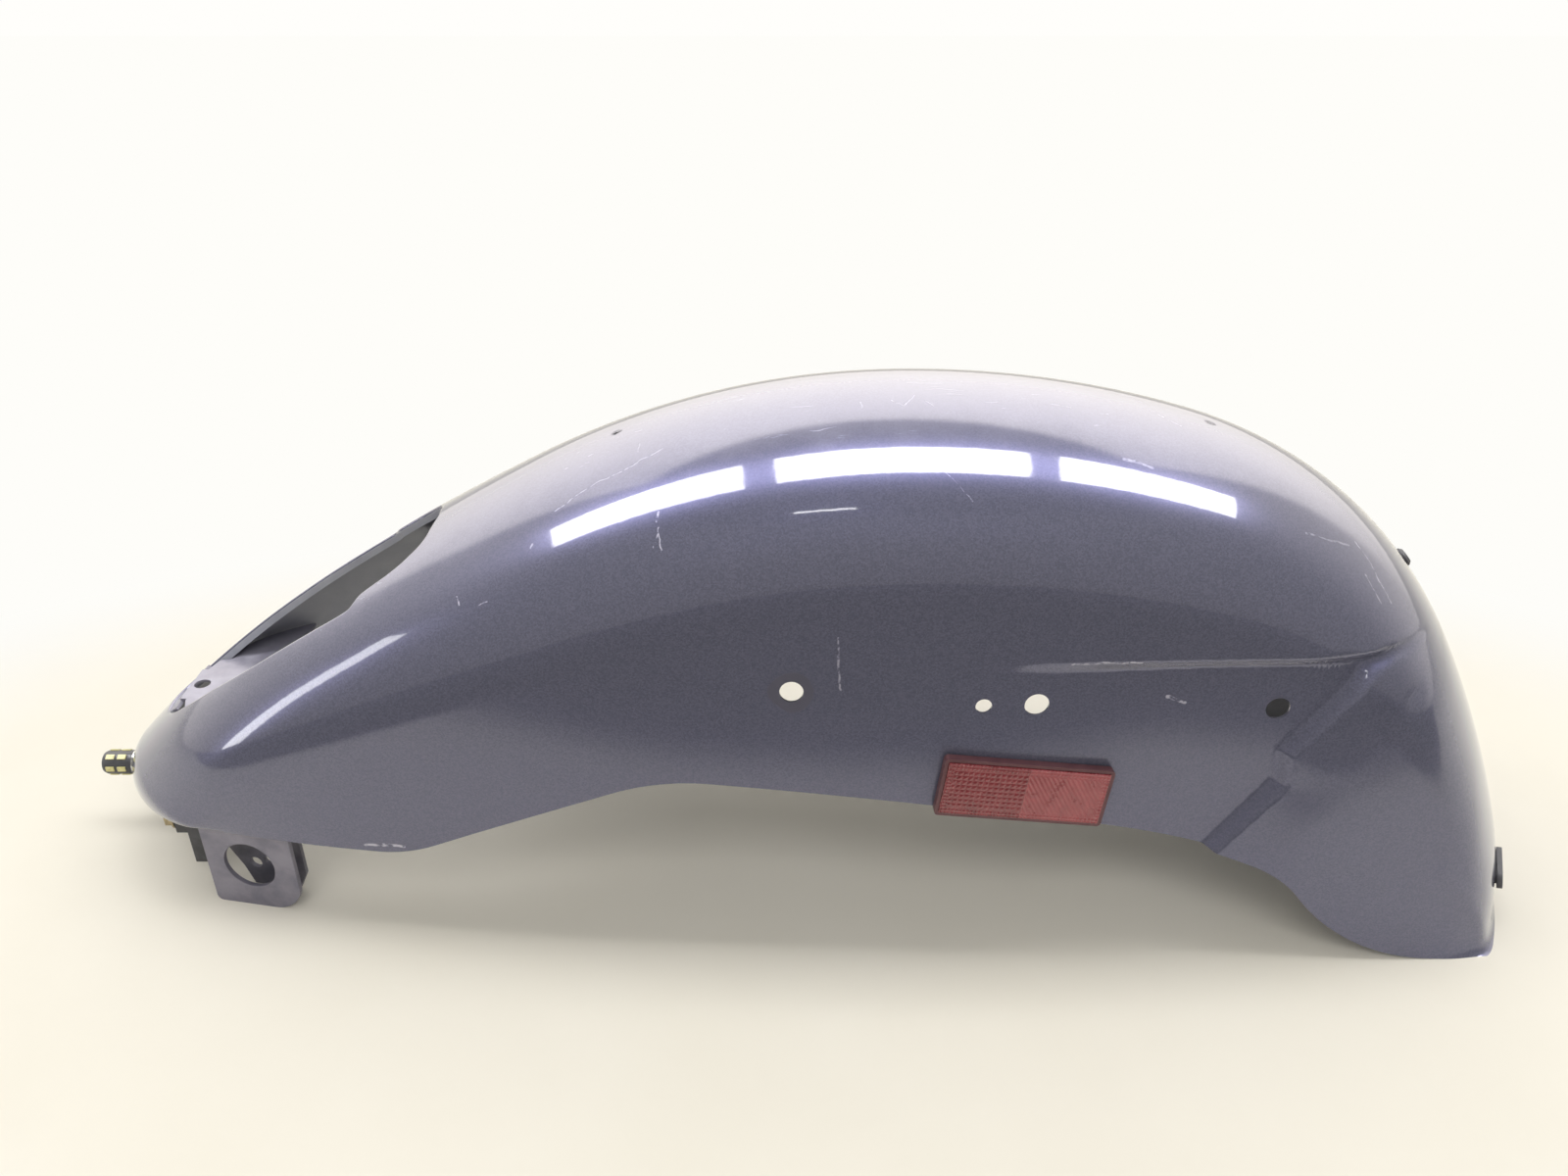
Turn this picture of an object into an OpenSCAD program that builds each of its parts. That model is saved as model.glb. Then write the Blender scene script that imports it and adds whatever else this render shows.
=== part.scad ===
// Motorcycle rear fender: one deep pressed skin with a long nose, two lamp and
// frame tabs under the nose, a recess for the strut on each side and a flared tail.
// X runs to the rear, Z is up, and the fender is the same on both sides of y = 0.

/* [Pressed skin] */
// Thickness of the steel sheet
skin_t = 1.6; // [1.2:0.1:2.4]
// Height of the folded hem along the lower edge
hem_h = 7; // [4:0.5:12]
// Half width of the body at the crown's shoulder
body_half_w = 110; // [104:0.5:118]
// Half width of the nose at its lower edge
nose_half_w = 75.5; // [73:0.5:80]
// Half width of the body at the lower edge over the wheel
edge_half_w = 115; // [112:0.5:120]
// Half width of the flared tail at the floor
tail_half_w = 121; // [118:0.5:128]
// Depth of the strut recess in the side
recess_d = 6.5; // [3:0.5:9]
// Height of the recess's upper wall above the floor
recess_top_z = 200; // [196:1:206]
// How far the tail's fan stands out from the side
fan_out = 3; // [1:0.5:5]

/* [Nose opening] */
// Half width of the opening at its widest
opening_half_w = 50.5; // [44:0.5:52]
// Half width of the opening behind the step in its rails
opening_neck_half_w = 42; // [34:0.5:43]
// Depth of the lip turned down around the opening
lip_h = 6; // [3:0.5:10]
// Thickness of the lip
lip_t = 1.6; // [1.2:0.1:2.4]

/* [Holes] */
// Diameter of the front strut bolt's hole
strut_hole_d = 13; // [9:0.5:15]
// Diameter of the small guide hole
guide_hole_d = 9; // [6:0.5:11]
// Diameter of the middle strut bolt's hole
mid_hole_d = 13.5; // [9:0.5:15]
// Diameter of the rear strut bolt's hole
rear_hole_d = 13.5; // [9:0.5:15]
// Height of the front strut bolt's hole above the floor
strut_hole_z = 185; // [178:1:190]
// Distance from the front strut hole back to the guide hole
guide_hole_x = 104; // [98:1:110]
// Distance from the front strut hole back to the middle hole
mid_hole_x = 133; // [128:1:150]
// Distance from the front strut hole back to the rear hole
rear_hole_x = 268; // [258:1:272]
// Diameter of the two holes in the crown
crown_hole_d = 7; // [4:0.5:10]

/* [Front brackets] */
// Thickness of the bracket plates
plate_t = 3; // [2:0.25:4]
// Length of a frame tab
tab_len = 60; // [54:1:64]
// Diameter of the big hole in a frame tab
tab_hole_d = 34; // [26:0.5:36]
// Height of that hole's centre above the floor
tab_hole_z = 32.5; // [28:0.5:36]
// Radius of a tab's rear lower corner
tab_corner_r = 20; // [12:1:24]
// Distance between a tab and the cheek plate inside it
cheek_gap = 16; // [12:0.5:20]
// Height of the nose plate above the floor
nose_plate_z = 116; // [110:0.5:119]
// Diameter of the bolt hole in the nose plate
nose_hole_d = 10; // [6:0.5:12]

/* [Lamp] */
// Diameter of the lamp's round body
bulb_d = 16; // [13:0.5:18]
// Length of the lamp's round body
bulb_len = 21; // [17:0.5:24]
// Number of light chips around the lamp
chip_count = 6; // [5:1:7]
// Height of the lamp's axis above the floor
bulb_z = 49; // [47:0.5:50]

/* [Reflectors] */
// Length of a side reflector
reflector_len = 97; // [80:1:104]
// Height of a side reflector
reflector_h = 38; // [30:0.5:42]
// Thickness of the reflector's lens
lens_t = 3.5; // [2:0.25:5]
// Thickness of the reflector's housing
housing_t = 5; // [4:0.25:7]
// Width of the housing's rim around the lens
rim_w = 2; // [1.5:0.25:3]
// Slope of the reflector down to the rear
reflector_slope = 7.6; // [5:0.2:10]
// Diameter of the reflector's fixing stud
stud_d = 5; // [4:0.5:6]

/* [Tail] */
// Length of the rubber plug on the tail
plug_len = 30; // [22:1:36]
// Width of the rubber plug on the tail
plug_w = 13; // [9:0.5:16]
// Diameter of the rubber grommet on the tail's crown
grommet_d = 12; // [9:0.5:15]

/* [Hidden] */

gap = 0.3;

// Arcs of the crown and of the lower edge: length, then turn in degrees.
crown_start = [-435, 60, 75.7];
crown_runs = [[25, -30], [163, -13], [163, -5.8], [220, -25.3], [184, -17.7],
              [83, -17.3], [113, -25.5], [196, -16.6]];
edge_start = [-365, 60.5, 0];
edge_runs = [[118, -0.4], [37, 25], [119, -2.7], [58, -26.3], [152, -4.1],
             [168, -10.9], [36, -32.9], [98, 48.7], [39, 3]];
crown_len = 1147;
edge_len = 825;

// Sections of the pressing: length along the crown, length along the edge,
// share of the body's half width, depth of the crown, power of its curve.
sections = [
    [0, 0, 0.682, 70, 1.55], [25, 16, 0.69, 62, 1.75], [80, 36, 0.727, 58, 2.1],
    [130, 66, 0.773, 60, 2.2], [239, 167, 0.882, 70, 2.1], [348, 278, 0.964, 78, 2],
    [505, 373, 1, 82, 2], [693, 536, 0.995, 81, 2], [820, 608, 0.982, 79, 2],
    [868, 629, 0.982, 76, 2], [915, 652, 0.982, 70, 1.97], [967, 697, 0.982, 64, 1.95],
    [1038, 754, 0.982, 56, 1.87], [1087, 793, 0.982, 51, 1.8], [1147, 825, 0.982, 47, 1.6]
];

// Half width at the lower edge by place along X.
edge_half = [
    [-365, nose_half_w], [-294, nose_half_w + 14.5], [-226, edge_half_w - 16],
    [-106, edge_half_w - 4.5], [19, edge_half_w], [146, edge_half_w],
    [249, edge_half_w - 2], [296, tail_half_w - 4], [350, tail_half_w], [420, tail_half_w]
];

// Line where the strut recess ends and the tail's fan begins, in side view.
fan_line = [[352, 201], [327, recess_top_z - 1], [312, 192], [275, 141], [276, 121],
            [246, 79], [232, 58]];

// Half width of the opening by length along the crown.
opening_a0 = 56;
opening_a1 = 289;
opening_half = [
    [56, 0.5], [58, 12], [65, 22], [80, opening_half_w * 0.6], [114, opening_half_w * 0.8],
    [154, opening_half_w * 0.94], [215, opening_half_w], [229, opening_half_w],
    [234, opening_half_w - 1], [240, opening_neck_half_w + 2], [247, opening_neck_half_w],
    [262, opening_neck_half_w - 3], [275, opening_neck_half_w - 9],
    [285, opening_neck_half_w - 20], [289, 0.5]
];

function ease(a, b, x) = let (t = max(0, min(1, (x - a) / (b - a)))) t * t * (3 - 2 * t);

// Smooth curve through the rows of a table, by its first column.
function row_at(t, x, i = 0) = (i >= len(t) - 2 || x < t[i + 1][0]) ? i : row_at(t, x, i + 1);
function grade(t, i, c) =
    let (lo = max(i - 1, 0), hi = min(i + 1, len(t) - 1))
    (t[hi][c] - t[lo][c]) / (t[hi][0] - t[lo][0]);
function curve(t, x, c = 1) =
    let (i = row_at(t, x), h = t[i + 1][0] - t[i][0], s = (x - t[i][0]) / h)
    t[i][c] * (1 + 2 * s) * (1 - s) * (1 - s) + grade(t, i, c) * h * s * (1 - s) * (1 - s)
    + t[i + 1][c] * s * s * (3 - 2 * s) + grade(t, i + 1, c) * h * s * s * (s - 1);

// Point and heading after a length along a chain of arcs.
function along(p, runs, a, i = 0) =
    let (k = runs[i][1] / runs[i][0],
         last = i == len(runs) - 1,
         l = last ? a : min(a, runs[i][0]),
         r = 180 / PI / (abs(k) < 0.0001 ? 0.0001 : k),
         q = [p[0] + r * (sin(p[2] + k * l) - sin(p[2])),
              p[1] - r * (cos(p[2] + k * l) - cos(p[2])), p[2] + k * l])
    (last || a <= runs[i][0]) ? q : along(q, runs, a - runs[i][0], i + 1);

function crown(a) = along(crown_start, crown_runs, a);
function edge(b) = let (e = along(edge_start, edge_runs, b)) [e[0], max(e[1], 0)];

// How far point p lies to the left of the line through the points of a path.
function side_of(path, p, i = 0) =
    let (d = path[i + 1] - path[i], w = p - path[i],
         s = max(i == 0 ? -1e9 : 0, min(i == len(path) - 2 ? 1e9 : 1, (w * d) / (d * d))),
         off = w - d * s, far = norm(off) * (d[0] * w[1] - d[1] * w[0] > 0 ? 1 : -1))
    i == len(path) - 2 ? far
    : let (rest = side_of(path, p, i + 1)) abs(rest) < abs(far) ? rest : far;

// Recess and fan of the side, as a distance that the side is pressed in.
function pressed_in(x, z) =
    let (s = side_of(fan_line, [x, z]),
         recess = ease(90, 240, x) * (1 - ease(recess_top_z - 5, recess_top_z + 4, z)) * ease(-5, 4, -s),
         fan = ease(-4, 5, s) * ease(0, 60, s + 20) * (1 - ease(395, 430, x)) * (1 - ease(190, 215, z)))
    recess_d * recess - fan_out * fan;

// Station of the skin: crown point, direction to the edge, and its section.
function station(a) =
    let (c = crown(a), e = edge(curve(sections, a, 1)), v = [e[0] - c[0], e[1] - c[1]],
         l = norm(v))
    [c[0], c[1], v[0] / l, v[1] / l, l, body_half_w * curve(sections, a, 2),
     min(curve(sections, a, 3), l * 0.999), curve(sections, a, 4), curve(edge_half, e[0])];

function bulge(w, deep, power, d) = d >= deep ? w : w * pow(1 - pow(1 - d / deep, power), 1 / power);
function spread(t) = t <= 0 ? 0 : t * t / (t + 25);

// Half width of a station's section at a distance d below the crown.
function half_at(s, d) =
    let (x = s[0] + s[2] * d, z = s[1] + s[3] * d, from = s[6] * 0.35)
    bulge(s[5], s[6], s[7], d) + (s[8] - s[5]) * spread(d - from) / spread(s[4] - from)
    - pressed_in(x, z) * ease(10, 45, d);
function skin_at(s, d, side = -1) = [s[0] + s[2] * d, side * half_at(s, d), s[1] + s[3] * d];

// Distance below the crown at which a station reaches a half width.
function depth_for(s, y) = s[6] * (1 - pow(1 - pow(y / s[5], s[7]), 1 / s[7]));

// Rows of the grid, from the crown down to the lower edge.
crown_rows = 9;
step_rows = 2;
side_rows = 6;
rows = crown_rows + step_rows + side_rows;
function step_d(s, z) = max(0.34 * s[4], min(0.66 * s[4], (s[1] - z) / max(0.2, -s[3])));
function row_d(s, j) =
    let (top = step_d(s, recess_top_z + 4), low = max(top + 2, step_d(s, recess_top_z - 5)))
    j <= crown_rows ? top * (1 - cos(90 * j / crown_rows))
    : j <= crown_rows + step_rows ? top + (low - top) * (j - crown_rows) / step_rows
    : j == rows ? s[4]
    : low + (s[4] - hem_h - low) * (j - crown_rows - step_rows) / (side_rows - 1);

stops = concat([0, 5, 11, 18], [for (a = [27 : 26 : 810]) a], [for (a = [820 : 9 : 896]) a],
               [for (a = [912 : 27 : 1130]) a], [crown_len]);
grid = [for (a = stops) let (s = station(a), half = [for (j = [0 : rows]) skin_at(s, row_d(s, j))])
        concat([for (j = [rows : -1 : 0]) half[j]], [for (j = [1 : rows]) [half[j][0], -half[j][1], half[j][2]]])];
cols = 2 * rows + 1;
last_stop = len(stops) - 1;

function unit(v) = v / norm(v);
function grid_normal(i, j) =
    let (u = grid[min(i + 1, last_stop)][j] - grid[max(i - 1, 0)][j],
         v = grid[i][min(j + 1, cols - 1)] - grid[i][max(j - 1, 0)])
    unit(cross(u, v));
function sheet_t(j) = (j == 0 || j == cols - 1) ? 2 * skin_t : skin_t;
inner = [for (i = [0 : last_stop]) [for (j = [0 : cols - 1])
         let (n = grid_normal(i, j), p = grid[i][j] - n * sheet_t(j)) [p[0], p[1], max(p[2], 0)]]];

function sheet_faces(flip, from) = [for (i = [0 : last_stop - 1], j = [0 : cols - 2])
    let (a = from + i * cols + j, b = a + cols)
    each flip ? [[a, b, b + 1], [a, b + 1, a + 1]] : [[a, b + 1, b], [a, a + 1, b + 1]]];
// Rim of the sheet as the loop of its outer points, each followed by its inner twin.
rim_loop = concat([for (j = [0 : cols - 1]) j], [for (i = [1 : last_stop]) i * cols + cols - 1],
                  [for (j = [cols - 2 : -1 : 0]) last_stop * cols + j],
                  [for (i = [last_stop - 1 : -1 : 1]) i * cols]);
function rim_faces(count) = [for (k = [0 : len(rim_loop) - 1])
    let (a = rim_loop[k], b = rim_loop[(k + 1) % len(rim_loop)])
    each [[a, a + count, b + count], [a, b + count, b]]];

module pressed_sheet() {
    count = len(stops) * cols;
    polyhedron(points = concat([for (r = grid) each r], [for (r = inner) each r]),
               faces = concat(sheet_faces(false, 0), sheet_faces(true, count), rim_faces(count)));
}

// Outline of the nose opening on the skin, seen square to the nose's slope.
slope = 33;
along_slope = [cos(slope), 0, sin(slope)];
off_slope = [-sin(slope), 0, cos(slope)];
open_stops = concat([56, 57, 59, 62, 66, 72], [for (a = [80 : 12 : 224]) a],
                    [for (a = [230 : 4 : 250]) a], [258, 266, 274, 280, 285, 288, 289]);
function rim_point(a, side) =
    let (s = station(a)) skin_at(s, depth_for(s, max(0.5, curve(opening_half, a))), side);
opening_rim = concat([for (a = open_stops) rim_point(a, -1)],
                     [for (k = [len(open_stops) - 1 : -1 : 0]) rim_point(open_stops[k], 1)]);
rim_flat = [for (p = opening_rim) [p * along_slope, p[1]]];
rim_level = [for (p = opening_rim) p * off_slope];
rim_n = len(opening_rim);
function rim_out(k) =
    let (v = rim_flat[(k + 1) % rim_n] - rim_flat[(k + rim_n - 1) % rim_n]) unit([v[1], -v[0]]);
function lip_point(k, out, level) =
    let (q = rim_flat[k] + rim_out(k) * out) [q[0], q[1], rim_level[k] - level];

module on_slope() { rotate([0, -slope, 0]) children(); }

module opening_cut() {
    on_slope() translate([0, 0, min(rim_level) - 18]) linear_extrude(60) polygon(rim_flat);
}

// Lip that is turned down along the rim. Grown, it is the room that a plate leaves for it.
module opening_lip(grow = 0) {
    in = -lip_t - grow;
    out = 0.5 + grow;
    loops = [[out, 0.8 - grow], [in, 0.4 - grow], [in, lip_h + grow], [out, lip_h + grow]];
    on_slope() polyhedron(
        points = [for (l = loops, k = [0 : rim_n - 1]) lip_point(k, l[0], l[1])],
        faces = [for (m = [0 : 3], k = [0 : rim_n - 1])
                 let (a = m * rim_n + k, b = m * rim_n + (k + 1) % rim_n,
                      c = ((m + 1) % 4) * rim_n + k, d = ((m + 1) % 4) * rim_n + (k + 1) % rim_n)
                 each [[a, d, b], [a, c, d]]]);
}

// Station whose line goes through a point of the side, and the half width there.
function beyond(a, x, z) = let (s = station(a)) (x - s[0]) * s[3] - (z - s[1]) * s[2];
function find_a(x, z, lo = 0, hi = crown_len, n = 22) =
    let (m = (lo + hi) / 2)
    n == 0 ? m : beyond(m, x, z) < 0 ? find_a(x, z, m, hi, n - 1) : find_a(x, z, lo, m, n - 1);
function side_half(x, z) =
    let (s = station(find_a(x, z))) half_at(s, (x - s[0]) * s[2] + (z - s[1]) * s[3]);
function side_point(x, z) = [x, -side_half(x, z), z];

// Frame on the skin at a station and a depth: point, way to the rear, way down, way out.
function skin_frame(a, y) =
    let (s = station(a), d = depth_for(s, y), p = skin_at(s, d),
         u = unit(skin_at(station(a + 1), d) - skin_at(station(a - 1), d)),
         v = unit(skin_at(s, d + 1) - skin_at(s, max(0, d - 1))),
         n = unit(cross(v, u)), t = cross(n, u))
    [p, u, t, n];
module on_frame(f, lift = 0) {
    u = f[1];
    t = f[2];
    n = f[3];
    p = f[0] + n * lift;
    multmatrix([[u[0], t[0], n[0], p[0]], [u[1], t[1], n[1], p[1]], [u[2], t[2], n[2], p[2]],
                [0, 0, 0, 1]]) children();
}
// On the crown's centre line.
module on_crown(a, lift = 0) {
    c = crown(a);
    translate([c[0], 0, c[1]]) rotate([0, -c[2], 0]) translate([0, 0, lift]) children();
}

module round_bar(d, h) { cylinder(d = d, h = h, $fn = 48); }
module oval(l, w, h) {
    linear_extrude(h) union() {
        square([l - w, w], center = true);
        for (s = [-1, 1]) translate([s * (l - w) / 2, 0]) circle(d = w, $fn = 40);
    }
}

crown_hole_a = [411, 758];
grommet_a = 918;
plug_a = 1103;
plug_y = 78;
plug_frame = skin_frame(plug_a, plug_y);

side_holes = [[0, strut_hole_z, strut_hole_d], [guide_hole_x, strut_hole_z - 9, guide_hole_d],
              [mid_hole_x, strut_hole_z - 9, mid_hole_d],
              [rear_hole_x, strut_hole_z - 17, rear_hole_d]];

// The pressing: skin, opening with its lip, strut holes and crown holes.
module fender_skin() {
    color("#4b4863") difference() {
        union() {
            difference() {
                pressed_sheet();
                opening_cut();
            }
            opening_lip();
        }
        for (h = side_holes) translate([h[0], 150, h[1]]) rotate([90, 0, 0]) round_bar(h[2], 300);
        for (a = crown_hole_a) on_crown(a, -10) round_bar(crown_hole_d, 20);
        on_crown(grommet_a, -10) round_bar(grommet_d - 4, 20);
        on_frame(plug_frame, -12) rotate([0, 0, 90]) oval(plug_len - 5, plug_w - 5, 24);
        for (s = [0, 1]) mirror([0, s, 0]) on_reflector(-12) round_bar(stud_d + 1, 24);
    }
}

// Outline of the inside of the skin at one height, drawn in from the sheet.
function level_point(a, z, side) =
    let (s = station(a), d = (s[1] - z) / -s[3]) [s[0] + s[2] * d, side * half_at(s, d)];
module level_outline(z, a0, a1, inset_by) {
    offset(delta = -inset_by) polygon(concat(
        [for (k = [0 : 10]) level_point(a0 + (a1 - a0) * k / 10, z, -1)],
        [for (k = [10 : -1 : 0]) level_point(a0 + (a1 - a0) * k / 10, z, 1)]));
}

// Plate across the nose under the opening, with the bolt hole.
nose_hole_x = -379;
nose_front_half = 17;
nose_plate_a = 128;
// Station at which the rising nose reaches a height.
function find_crown(z, lo = 0, hi = 500, n = 20) =
    let (m = (lo + hi) / 2) n == 0 ? m : crown(m)[1] < z ? find_crown(z, m, hi, n - 1) : find_crown(z, lo, m, n - 1);
// Front of that plate, bent down along the rim of the opening.
nose_drop = 2;
nose_bend_a = find_crown(nose_plate_z);
module nose_slope() {
    stops = [for (k = [0 : 9]) opening_a0 + 3.4 + (nose_bend_a - opening_a0 - 3.4) * k / 9];
    half = [for (a = stops) curve(opening_half, a - lip_t - 4 * gap) - lip_t];
    on_crown(nose_bend_a, -nose_drop - 2) linear_extrude(2) polygon(concat(
        [for (k = [0 : 9]) [stops[k] - nose_bend_a, -half[k]]],
        [for (k = [9 : -1 : 0]) [stops[k] - nose_bend_a, half[k]]]));
}
module nose_plate() {
    color("#8f8ea6") difference() {
        union() {
            translate([0, 0, nose_plate_z - 2]) linear_extrude(2) union() {
                level_outline(nose_plate_z, find_crown(nose_plate_z + 1), nose_plate_a, skin_t + 1.1);
                translate([nose_hole_x - nose_hole_d / 2 - 2, -nose_front_half]) square([15, 2 * nose_front_half]);
            }
            nose_slope();
        }
        translate([nose_hole_x, 0, nose_plate_z - 5]) round_bar(nose_hole_d, 10);
        opening_lip(gap);
    }
}

// Plate across the neck behind the opening's step, with a slot on each side.
neck_a = 262;
neck_drop = 24;
neck_len = 44;
neck_slot_y = 27;
module neck_plate() {
    c = crown(neck_a);
    half = bulge(station(neck_a)[5], station(neck_a)[6], station(neck_a)[7], neck_drop) - skin_t - 2.4;
    color("#5d5c72") translate([c[0], 0, c[1]]) rotate([0, -c[2], 0]) translate([0, 0, -neck_drop])
        difference() {
            translate([-neck_len / 2, -half, -2]) cube([neck_len, 2 * half, 2]);
            for (s = [-1, 1]) translate([-8, s * neck_slot_y, -5]) rotate([0, 0, 90]) oval(24, 9, 10);
        }
}

// Frame tab under the nose, with its big round hole.
tab_x = -365;
tab_top = 74;
tab_hole_x = 29;
tab_seat_z = edge_start[1] + 0.5;
function tab_y(x) = min([for (z = [tab_seat_z, tab_top]) side_half(x, z)]) - 2 * skin_t - 2.5 * gap;
tab_front_y = tab_y(tab_x + 3);
tab_rear_y = tab_y(tab_x + tab_len);
tab_turn = atan((tab_rear_y - tab_front_y) / tab_len);
module tab_frame(y_in) {
    translate([tab_x, -tab_front_y + y_in / cos(tab_turn), 0]) rotate([0, 0, -tab_turn]) rotate([90, 0, 0])
        translate([0, 0, -plate_t]) children();
}
module plate_outline(l, top, r_front, r_rear) {
    hull() {
        translate([r_front, r_front]) circle(r_front, $fn = 32);
        translate([l - r_rear, r_rear]) circle(r_rear, $fn = 48);
        translate([0, top - 1]) square([l, 1]);
    }
}
module tab_left() {
    color("#514e68") tab_frame(0) difference() {
        linear_extrude(plate_t) plate_outline(tab_len, tab_top, 4, tab_corner_r);
        translate([tab_hole_x, tab_hole_z, -1]) cylinder(d = tab_hole_d, h = plate_t + 2, $fn = 72);
    }
}

// Cheek plate inside the tab, with two windows and a flange out to the tab.
cheek_x = 15;
module cheek_left() {
    color("#5b5971") {
        tab_frame(cheek_gap) difference() {
            linear_extrude(plate_t) polygon([[cheek_x + 5, 2], [cheek_x, 16], [2, 40], [2, tab_top - 4],
                [tab_len - 2, tab_top - 4], [tab_len - 2, 16], [tab_len - 9, 2]]);
            translate([cheek_x + 9, 20, -1]) cylinder(d = 8, h = plate_t + 2, $fn = 40);
            translate([cheek_x + 21, 23, -1]) oval(11, 6.5, plate_t + 2);
        }
        tab_frame(cheek_gap) translate([8, 56, plate_t]) cube([tab_len - 16, plate_t, cheek_gap - plate_t]);
    }
}

// Black bracket across the nose that carries the lamp, with a wing at each end.
bracket_x = -391;
bracket_half = tab_front_y - cheek_gap - plate_t - 0.1;
bolt_y = bracket_half - 6;
bolt_z = 46;
lamp_y = 6;
wing_t = 2.5;
module lamp_bracket() {
    color("#26262b") difference() {
        union() {
            translate([bracket_x, -bracket_half, 38]) cube([wing_t, 2 * bracket_half, 18]);
            for (s = [0, 1]) mirror([0, s, 0]) translate([0, -bracket_half, 0]) rotate([90, 0, 0])
                translate([0, 0, -wing_t]) linear_extrude(wing_t) union() {
                    translate([bracket_x, 38]) square([34, 18]);
                    translate([bracket_x + 7, 14]) square([16, 26]);
                }
        }
        for (s = [-1, 1]) translate([bracket_x - 5, s * bolt_y, bolt_z]) rotate([0, 90, 0]) round_bar(6.4, 15);
        translate([bracket_x - 5, lamp_y, bulb_z]) rotate([0, 90, 0]) round_bar(9, 15);
    }
}

// Hex bolt with its washer, which hold the bracket to the frame's part behind it.
module lamp_bolt_left() {
    color("#a8977a") translate([bracket_x, -bolt_y, bolt_z]) rotate([0, 90, 0]) union() {
        translate([0, 0, -1.5 - 5]) cylinder(d = 11.5, h = 5, $fn = 6);
        translate([0, 0, -1.5 - 0.01]) round_bar(6, 14);
    }
}
module lamp_washer_left() {
    color("#cfcac0") translate([bracket_x - 1.5, -bolt_y, bolt_z]) rotate([0, 90, 0]) difference() {
        round_bar(14, 1.5);
        translate([0, 0, -1]) round_bar(6.4, 4);
    }
}

// Lamp: holder on the bracket, bright neck with its flange, body and light chips.
module lamp_axis(x) { translate([x, lamp_y, bulb_z]) rotate([0, -90, 0]) children(); }
holder_len = 34;
neck_l = 16;
bulb_x = bracket_x - holder_len - neck_l;
module bulb_holder() {
    color("#1f1f22") lamp_axis(bracket_x) difference() {
        union() {
            round_bar(20, holder_len);
            translate([0, 0, -5]) round_bar(8.6, 5.01);
        }
        translate([0, 0, holder_len - 12]) round_bar(10.2, 13);
    }
}
module bulb_neck() {
    color("#c9c9c6") lamp_axis(bracket_x - holder_len) union() {
        translate([0, 0, -11]) round_bar(10, 11.01);
        round_bar(bulb_d - 4, neck_l - 2);
        translate([0, 0, neck_l - 2]) round_bar(bulb_d + 1, 2);
    }
}
chip_l = 5.5;
chip_w = 3.4;
chip_lift = 0.6;
module chip_boxes(grow) {
    for (k = [0 : chip_count - 1], r = [0 : 1])
        rotate([0, 0, 360 / chip_count * (k + 0.5)])
            translate([bulb_d / 2 - 0.9, -chip_w / 2 - grow, 4 + r * (chip_l + 2.2) - grow])
                cube([0.9 + chip_lift, chip_w + 2 * grow, chip_l + 2 * grow]);
}
module bulb_body() {
    color("#17181a") lamp_axis(bulb_x) difference() {
        rotate_extrude($fn = 48) polygon([[0, 0], [bulb_d / 2, 0], [bulb_d / 2, bulb_len - 3],
            [bulb_d / 2 - 0.9, bulb_len - 0.9], [bulb_d / 2 - 3, bulb_len], [0, bulb_len]]);
        chip_boxes(0);
    }
}
module bulb_chips() { color("#e6d65a") lamp_axis(bulb_x) chip_boxes(0); }

// Reflector's seat: a plane laid on the skin under its four corners.
reflector_mid = [130, 121];
function reflector_at(u, v) =
    let (x = reflector_mid[0] + u * cos(reflector_slope) + v * sin(reflector_slope),
         z = reflector_mid[1] - u * sin(reflector_slope) + v * cos(reflector_slope)) side_point(x, z);
rl = reflector_len / 2;
rh = reflector_h / 2;
ref_u = unit(reflector_at(rl, 0) - reflector_at(-rl, 0));
ref_n = unit(cross(ref_u, reflector_at(0, rh) - reflector_at(0, -rh)));
ref_v = cross(ref_n, ref_u);
ref_lift = max([for (u = [-rl : rl / 4 : rl], v = [-rh, 0, rh])
                (reflector_at(u, v) - reflector_at(0, 0)) * ref_n]) + 0.1;
module on_reflector(lift = 0) {
    on_frame([reflector_at(0, 0), ref_u, ref_v, ref_n], ref_lift + lift) children();
}
module rounded_plate(l, w, r, h) {
    linear_extrude(h) hull() for (x = [-1, 1], y = [-1, 1])
        translate([x * (l / 2 - r), y * (w / 2 - r)]) circle(r, $fn = 24);
}
module reflector_housing_left() {
    color("#5a2b33") on_reflector() difference() {
        rounded_plate(reflector_len, reflector_h, 2.5, housing_t);
        translate([0, 0, housing_t - 2]) rounded_plate(reflector_len - 2 * rim_w, reflector_h - 2 * rim_w, 1.5, 5);
        translate([0, 0, -1]) round_bar(stud_d, housing_t - 2);
    }
}
module reflector_lens_left() {
    color("#a3202f") on_reflector(housing_t - 2)
        rounded_plate(reflector_len - 2 * rim_w - 0.4, reflector_h - 2 * rim_w - 0.4, 1.3, lens_t);
}
module reflector_stud_left() {
    color("#9a9a98") on_reflector(-14) round_bar(stud_d, 14 + housing_t - 3);
}
module reflector_nut_left() {
    color("#9a9a98") on_reflector(-ref_lift - skin_t - gap - 4) difference() {
        cylinder(d = 9.2, h = 4, $fn = 6);
        translate([0, 0, -1]) round_bar(stud_d, 6);
    }
}

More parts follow.
